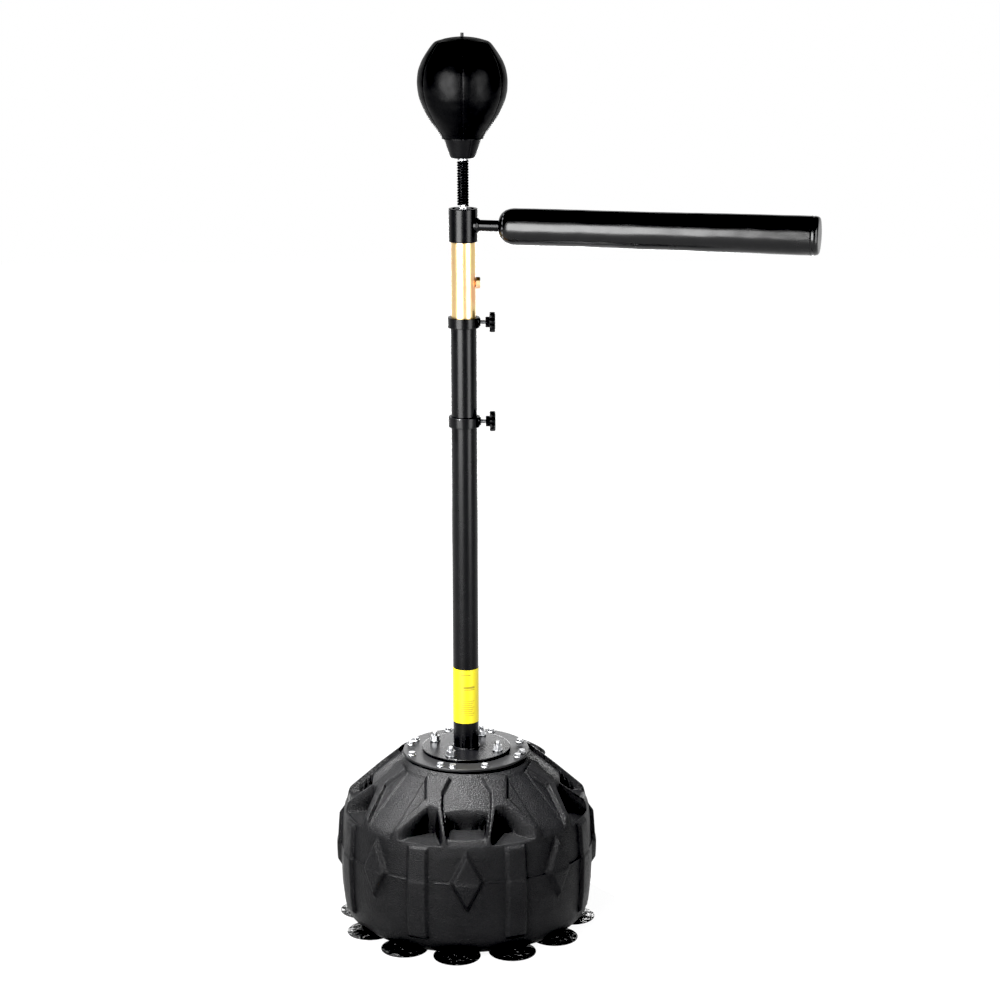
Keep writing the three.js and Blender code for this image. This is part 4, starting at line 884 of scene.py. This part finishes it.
def make_knob(place, collar_top):
    height = collar_top - COLLAR_HEIGHT / 2
    tip = INNER_RADIUS + 0.3
    outline = [(0, tip), (2.6, tip), *thread_profile(4, tip + 1, tip + 31.5, 1.25), (0, tip + 32)]
    screw = along_x(lathe(place + "_screw_skin", outline, 32), height)
    fit_out(screw, place + "_clamp_screw", "zinc", place + "_knob_screw")
    loops = [star_loop(2.2, 49), star_loop(0.7, 49.5), star_loop(0, 51), star_loop(0, 58)]
    loops += [star_loop(0.7, 59.4), star_loop(2.0, 59.9), star_loop(3.4, 60)]
    head = stack(place + "_grip_skin", loops, 40)
    neck = []
    for z, shrink in ((41.5, 0.9), (42.3, 0), (50.5, 0)):
        ring = []
        for i in range(96):
            angle = i * 2 * math.pi / 96
            rr = 9.7 - shrink + 0.3 * math.cos(24 * angle)
            ring.append((rr * math.cos(angle), rr * math.sin(angle), z))
        neck.append(ring)
    boolean(head, stack("neck", neck, 40), "UNION", 40)
    boolean(head, peg(4.3, 30, 56.1, 32), "DIFFERENCE", 40)
    fit_out(along_x(head, height), place + "_clamp_knob", "knob_plastic", place + "_knob_grip")


# ---- Hub, bar, spring and ball ----

ROD_RADIUS = 10.65
ROD_END = 634.0
PAD_START = 72.0
PAD_END = 674.0


def make_hub():
    bore, ledge = 21.25, 18.5
    lower = low("upper_bearing_inner_race").z - 0.3
    upper = high("lower_bearing_inner_race").z + 0.3
    outline = [
        (bore, HUB_BOTTOM), (HUB_RADIUS, HUB_BOTTOM), (HUB_RADIUS, HUB_TOP), (bore, HUB_TOP),
        (bore, lower), (ledge, lower), (ledge, upper), (bore, upper),
    ]
    hub = lathe("bar_hub_skin", rounded(outline, 1.3), 128)
    rod = [(8.65, 23), (14.2, 23), (14.2, 28.5), (12.2, 30.5), (ROD_RADIUS, 33),
           (ROD_RADIUS, ROD_END), (8.65, ROD_END)]
    boolean(hub, along_arm(lathe("rod", rounded(rod, 0.8), 64)), "UNION")
    start, end = HUB_BOTTOM - 2, HUB_TOP + 2
    cutter = lathe("cut", [(0, start), (bore, start), (bore, upper), (ledge, upper), (ledge, lower),
                           (bore, lower), (bore, end), (0, end)], 128)
    boolean(hub, cutter, "DIFFERENCE")
    return fit_out(hub, "bar", "black_paint", "bar_hub")


END_REACH = 30.0
END_DROP = 20.0
BAR_DIP = 1.2
STITCHES = 44


def pad_radius(u):
    return 34.5 + 1.5 * (u - PAD_START) / (PAD_END - PAD_START)


def make_bar():
    """The padded bar: a rounded inner end, a long sleeve and a sewn end panel."""
    sides = 96
    seam_u = PAD_END - 12.0
    rows = [(11.0, PAD_START + 1.5), (11.4, PAD_START + 0.4), (13, PAD_START)]
    for a in range(0, 91, 6):
        t = math.radians(a)
        rows.append((pad_radius(PAD_START + END_REACH) - END_DROP * (1 - math.sin(t)),
                     PAD_START + END_REACH * (1 - math.cos(t))))
    rows += [(pad_radius(u), u) for u in np.arange(PAD_START + END_REACH + 5, seam_u - 5, 6.0)]
    rows += [(pad_radius(seam_u), seam_u + d) for d in (-4, -2.5, -1.4, -0.5, 0.5, 1.4, 2.5, 4)]
    rows += [(pad_radius(PAD_END) - 0.3, PAD_END - 8), (pad_radius(PAD_END) - 0.8, PAD_END - 5)]
    rows += [(pad_radius(PAD_END) - 1.8, PAD_END - 2.6), (pad_radius(PAD_END) - 3.6, PAD_END - 1.0)]
    rows += [(28, PAD_END - 0.4), (20, PAD_END - 0.1), (10, PAD_END), (0, PAD_END)]
    bore_end = ROD_END + 1.0
    angle = np.arange(sides) * 2 * math.pi / sides
    r, u, a = np.array([(*row, a) for row in rows[:-1] + [(11.0, bore_end)] for a in angle]).T
    outer = r > 20
    plain = np.stack([r * np.cos(a), r * np.sin(a), u], -1)
    waves = noise_at(plain * [1, 1, 0.35], 0.021, 1) * 0.9
    waves += noise_at(plain * [1, 1, 0.6], 0.05, 2) * 0.35
    near_seam = np.exp(-((u - seam_u) / 1.3) ** 2)
    puckers = np.exp(-((u - seam_u + 7) / 6.0) ** 2) * np.maximum(0, np.cos(a * 22)) * 0.35
    back = np.abs((a - math.radians(215) + math.pi) % (2 * math.pi) - math.pi) * r
    lengthways = np.exp(-(back / 1.3) ** 2) * (u < seam_u) * (u > PAD_START + 20)
    change = waves * smooth01((u - PAD_START) / 30) - 0.7 * near_seam - puckers - 0.9 * lengthways
    r = np.where(outer, r + np.maximum(change, -BAR_DIP), r)
    points = np.stack([r * np.cos(a), r * np.sin(a), u], -1)
    rings = len(rows)
    faces = grid_faces(rings, sides, wrap_rows=True)
    # the last ring is the bore's far end: close the outside at the tip and the bore at the rod
    faces = faces[: (rings - 2) * sides] + faces[(rings - 1) * sides:]
    points = list(map(tuple, points))
    close_ends(points, faces, sides, ((PAD_END, rings - 2), (bore_end, rings - 1)))
    cover = along_arm(mesh_object("bar_cover_skin", points, faces, 50))
    fit_out(cover, "bar", "bar_vinyl", "bar_cover")
    stitches = [stitch(pad_radius(seam_u) + 0.1, i * 2 * math.pi / STITCHES, seam_u - 3.2, 3.2)
                for i in range(STITCHES)]
    thread = along_arm(joined("bar_stitching", stitches))
    thread.data.materials.append(STITCH)
    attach(thread, "bar")
    return cover


def stitch(radius, angle, u, length, thick=0.45):
    """One thread stitch lying round the bar at a distance along it."""
    loops = []
    for k in range(7):
        t = k / 6
        swing = (t - 0.5) * length / radius
        bulge = math.sin(math.pi * t)
        loop = []
        for s in range(6):
            q = s * 2 * math.pi / 6
            rr = radius + 0.25 * bulge + thick * (0.35 + 0.65 * bulge) * math.cos(q)
            uu = u + thick * (0.35 + 0.65 * bulge) * math.sin(q)
            loop.append((rr * math.cos(angle + swing), rr * math.sin(angle + swing), uu))
        loops.append(loop)
    return stack("stitch", loops, None)


SPRING_TURNS = 16
COIL_RADIUS = 8.6
WIRE_RADIUS = 2.52
WIRE_END = 2.3


def make_spring_half(name, first, last):
    """The wire from one turn to another."""
    coil, steps, around = COIL_RADIUS, 28, 12
    start = SPRING_BOTTOM + WIRE_END
    total = SPRING_TOP - SPRING_BOTTOM - 2 * WIRE_END
    climb = total / SPRING_TURNS / (2 * math.pi)
    loops = []
    for i in range(int((last - first) * steps) + 1):
        turn = first + i / steps
        angle = turn * 2 * math.pi
        height = start + total * turn / SPRING_TURNS
        middle = Vector((coil * math.cos(angle), coil * math.sin(angle), height))
        forward = Vector((-coil * math.sin(angle), coil * math.cos(angle), climb)).normalized()
        side = Vector((math.cos(angle), math.sin(angle), 0))
        up = forward.cross(side)
        loops.append([tuple(middle + (side * math.cos(q) + up * math.sin(q)) * WIRE_RADIUS)
                      for q in (k * 2 * math.pi / around for k in range(around))])
    return stack(name, loops, 40)


def make_spring():
    lower = make_spring_half("rebound_spring_lower", 0, SPRING_TURNS // 2)
    upper = make_spring_half("rebound_spring_upper", SPRING_TURNS // 2, SPRING_TURNS)
    middle = (SPRING_BOTTOM + SPRING_TOP) / 2 * MM
    for half, a, b, start, end in (
        (lower, "upper_section", "spring", high("spindle").z * MM, middle),
        (upper, "spring", "ball", middle, low("ball_stud").z * MM),
    ):
        fit_out(half, None, "spring_steel", "rebound_spring")
        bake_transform(half)


def make_spindle_nut():
    bottom, top = low("spindle_nut").z, high("spindle_nut").z
    nut = hex_head("spindle_nut_skin", 28, bottom, top, 10.3, 1.0)
    fit_out(nut, "upper_section", "zinc", "spindle_nut")


def make_ball_stud():
    bottom, top = low("ball_stud").z, high("ball_stud").z
    flange = SPRING_TOP + 0.3
    outline = [(0, bottom), (5.3, bottom), (5.3, flange), (10, flange), (10, flange + 3.5),
               (5, flange + 3.5), *thread_profile(5, flange + 9.6, top - 1), (0, top)]
    stud = lathe("ball_stud_skin", outline, 48)
    nut = hex_head("hex", 16, flange + 10.1, flange + 18.1, dome=0.8)
    boolean(stud, nut, "UNION", 28)
    fit_out(stud, "ball", "zinc", "ball_stud")


def make_ball_cup():
    """The plastic cone under the ball, with its moulded seam."""
    sides = 144
    height = CUP_TOP - CUP_BOTTOM
    outline = [(5.3, CUP_BOTTOM), (21.5, CUP_BOTTOM), (22.6, CUP_BOTTOM + 0.5)]
    outline += [(23.3, CUP_BOTTOM + 1.6)]
    shares = (0.06, 0.12, 0.25, 0.4, 0.55, 0.7, 0.85, 0.97)
    outline += [(23 + 17 * share, CUP_BOTTOM + height * share) for share in shares]
    outline += [(39.6, CUP_TOP), (37.4, CUP_TOP), (22.4, CUP_BOTTOM + 6), (5.3, CUP_BOTTOM + 6)]
    cup = lathe("ball_cup_skin", outline, sides, 40)
    points = vertex_points(cup)
    x, y, z = points.T
    r = np.hypot(x, y)
    turn = np.degrees(np.arctan2(x, -y))
    seam = np.exp(-(((turn - 27) / 1.6) ** 2)) * 0.9 - np.exp(-(((turn - 24) / 1.6) ** 2)) * 0.5
    outside = (r > 21.4 + 17 * (z - CUP_BOTTOM) / height) & (z > CUP_BOTTOM + 0.2)
    points[:, :2] *= 1 - np.where(outside, seam / np.maximum(r, 1e-3), 0)[:, None]
    set_vertex_points(cup, points)
    fit_out(cup, "ball", "cup_cone_plastic", "ball_cup")


BALL_OUTLINE = [
    (-14.0, 39.4), (-10, 40.8), (-5.7, 43.0), (1.3, 48.0), (8.9, 53.6), (16.3, 59.2), (23.8, 63.9),
    (31.3, 68.5), (38.8, 72.3), (46.3, 75.8), (53.8, 78.5), (61.3, 81.3), (68.8, 82.7),
    (76.3, 84.1), (83.3, 84.7), (90.8, 84.9), (98.3, 84.6), (105.8, 83.7), (113.3, 82.1),
    (120.3, 79.8), (127.9, 76.8), (135.3, 72.8), (142.7, 68.3), (150.3, 63.2), (157.3, 57.7),
    (161.8, 54.0), (165.2, 50.2), (168.0, 41.0), (170.9, 31.0), (172.8, 20.0), (173.8, 10.0),
    (174.0, 3.4),
]
BALL_DIP = 2.2


def make_ball():
    """The sewn leather pear: six panels that swell between their seams."""
    sides = 288
    outline = np.array(BALL_OUTLINE)
    walk = np.concatenate([[0], np.cumsum(np.hypot(*np.diff(outline, axis=0).T))])
    spots = np.linspace(0, walk[-1], 110)
    z = np.interp(spots, walk, outline[:, 0])
    r = np.interp(spots, walk, outline[:, 1])
    weights = np.array([1, 2, 3, 2, 1]) / 9
    r[2:-2], z[2:-2] = np.convolve(r, weights, "valid"), np.convolve(z, weights, "valid")
    turn = np.arange(sides) * 360.0 / sides
    R, T = np.meshgrid(r, turn, indexing="ij")
    Z = np.meshgrid(z, turn, indexing="ij")[0] + CUP_TOP
    off_seam = np.abs((T + 30) % 60 - 30)
    arc = np.radians(off_seam) * R
    plain = round_pole(R, T, Z)
    crumple = (noise_at(plain, 0.03, 5) * 0.9 + noise_at(plain, 0.075, 6) * 0.4).reshape(R.shape)
    body = smooth01((Z - CUP_TOP - 4) / 25) * smooth01((R - 8) / 25)
    groove = np.exp(-((arc / 1.3) ** 2)) * 0.8 * smooth01((R - 6) / 8)
    valley = np.exp(-((arc / 9.0) ** 2)) * 0.5 * body
    pucker = np.exp(-((arc / 6.0) ** 2)) * np.sin(Z * 0.42 * 2.1) * 0.18 * body
    hem = np.exp(-(((Z - CUP_TOP + 12.0) / 1.0) ** 2)) * 0.8
    change = np.maximum(crumple * body * 0.8 + pucker - groove - valley - hem, -BALL_DIP)
    points = round_pole(R - 0.2 + change, T, Z)
    inside = [(35.8, CUP_TOP - 14), (38.6, CUP_TOP - 6), (40.7, CUP_TOP + 0.4), (43.8, CUP_TOP + 2)]
    inside += [(o[1] - 3.2, CUP_TOP + o[0]) for o in BALL_OUTLINE[4:-1:2]]
    inside_points, inside_rows = lathe_points(inside + [(3.4, BALL_TOP - 2.2)], sides)
    rows = len(r)
    faces = grid_faces(rows, sides) + grid_faces(inside_rows, sides, first=rows * sides)
    for j in range(sides):
        k = (j + 1) % sides
        for a, b in ((0, rows * sides), ((rows - 1) * sides, (rows + inside_rows - 1) * sides)):
            faces.append((a + j, a + k, b + k, b + j))
    ball = mesh_object("ball_cover_skin", np.concatenate([points, inside_points]), faces, 60)
    fit_out(ball, "ball", "ball_leather", "ball_cover")
    return ball


# ---- Assembly ----

make_tub()
for cup_index, cup_turn in enumerate(CUP_TURNS):
    make_cup(cup_index, cup_turn)
make_filler()
make_plate()
make_plate_screws()
make_foot_nuts()
make_lower_pole()
make_middle_tube()
make_inner_tube()
make_label()
make_knob("lower", LOWER_TOP)
make_knob("upper", MIDDLE_TOP)
make_hub()
make_bar()
make_spindle_nut()
make_spring()
make_ball_stud()
make_ball_cup()
make_ball()


# ---- Floor, light and camera ----

FLOOR_REACH = 9000.0
FLOOR_Z = -0.5
FLOOR_GLOW = 0.9
CAMERA_PLACE = (0, -4.714, 2.0152)
CAMERA_TILT = math.pi / 2 - 0.2407
CAMERA_YAW = -0.0145
CAMERA_ROLL = -0.0025


def make_floor():
    """A pale floor that catches soft shadow near the tub and fades to white further out."""
    reach = FLOOR_REACH
    corners = [(-reach, -reach, FLOOR_Z), (reach, -reach, FLOOR_Z), (reach, reach, FLOOR_Z),
               (-reach, reach, FLOOR_Z)]
    floor = mesh_object("floor", corners, [(0, 1, 2, 3)])
    material = bpy.data.materials.new("floor")
    material.use_nodes = True
    tree = material.node_tree
    shader = tree.nodes["Principled BSDF"]
    coords = object_coords(tree)
    tone = remap(tree, noise_node(tree, coords, 1.5), 0.0, 1.0)
    distance = node(tree, "ShaderNodeVectorMath", operation="LENGTH")
    tree.links.new(coords, distance.inputs[0])
    feed(tree, shader, {
        "Base Color": mixed(tree, tone, (0.10, 0.10, 0.10, 1), (0.11, 0.11, 0.11, 1)),
        "Roughness": 0.9,
        "Specular IOR Level": 0.1,
        "Emission Color": (1, 1, 1, 1),
        "Emission Strength": remap(tree, distance.outputs["Value"], FLOOR_GLOW, 1.0, 0.25, 1.3),
    })
    floor.data.materials.append(material)


def softbox(name, place, target, width, height, power):
    """A rectangular light aimed at a point, and left out of the picture."""
    light = bpy.data.lights.new(name, "AREA")
    light.shape = "RECTANGLE"
    light.size, light.size_y, light.energy = width, height, power
    obj = bpy.data.objects.new(name, light)
    obj.location = place
    obj.rotation_euler = (Vector(target) - Vector(place)).to_track_quat("-Z", "Y").to_euler()
    obj.visible_camera = False
    bpy.context.scene.collection.objects.link(obj)


def snooted_light():
    """A narrow beam from high on the left that picks out the tub's upward faces."""
    light = bpy.data.lights.new("snooted_light", "SPOT")
    light.energy, light.shadow_soft_size = 6500, 0.08
    light.spot_size, light.spot_blend = math.radians(8.6), 0.6
    obj = bpy.data.objects.new("snooted_light", light)
    obj.location = (-1.1, 0.2, 4.5)
    obj.rotation_euler = (Vector((0, 0, 0.24)) - obj.location).to_track_quat("-Z", "Y").to_euler()
    bpy.context.scene.collection.objects.link(obj)


def make_world():
    """White behind and near the horizon, dim overhead and in front, and white as a backdrop."""
    world = bpy.data.worlds.new("studio")
    bpy.context.scene.world = world
    world.use_nodes = True
    tree = world.node_tree
    way = tree.nodes.new("ShaderNodeSeparateXYZ")
    tree.links.new(tree.nodes.new("ShaderNodeTexCoord").outputs["Generated"], way.inputs[0])
    height = remap(tree, way.outputs["Z"], 0.8, 0.03, 0.28, 0.6)
    front = remap(tree, way.outputs["Y"], 0.04, 1.0, -0.3, 0.75)
    seen = tree.nodes.new("ShaderNodeLightPath").outputs["Is Camera Ray"]
    grey = math_node(tree, "MAXIMUM", math_node(tree, "MULTIPLY", height, front), seen)
    feed(tree, tree.nodes["Background"], {"Color": grey, "Strength": 1.0})


def make_camera():
    data = bpy.data.cameras.new("camera")
    data.sensor_width = 36
    data.lens = 90.1
    data.clip_end = 200
    camera = bpy.data.objects.new("camera", data)
    turn = Matrix.Rotation(CAMERA_YAW, 4, "Z") @ Matrix.Rotation(CAMERA_TILT, 4, "X")
    turn = turn @ Matrix.Rotation(CAMERA_ROLL, 4, "Z")
    camera.matrix_world = Matrix.Translation(CAMERA_PLACE) @ turn
    bpy.context.scene.collection.objects.link(camera)
    bpy.context.scene.camera = camera


make_floor()
make_world()
softbox("left_softbox", (-2.05, -3.03, 1.6), (0, 0, 1.3), 2.5, 2.8, 420)
softbox("right_softbox", (2.1, -2.0, 1.5), (0, 0, 1.3), 1.3, 2.7, 115)
softbox("rear_softbox", (0, 3.0, 0.55), (0, 0, 0.75), 1.7, 0.9, 60)
snooted_light()
make_camera()
view = bpy.context.scene.view_settings
view.view_transform = "Standard"
view.use_curve_mapping = True
view.curve_mapping.black_level = (0.02, 0.02, 0.02)
view.curve_mapping.update()
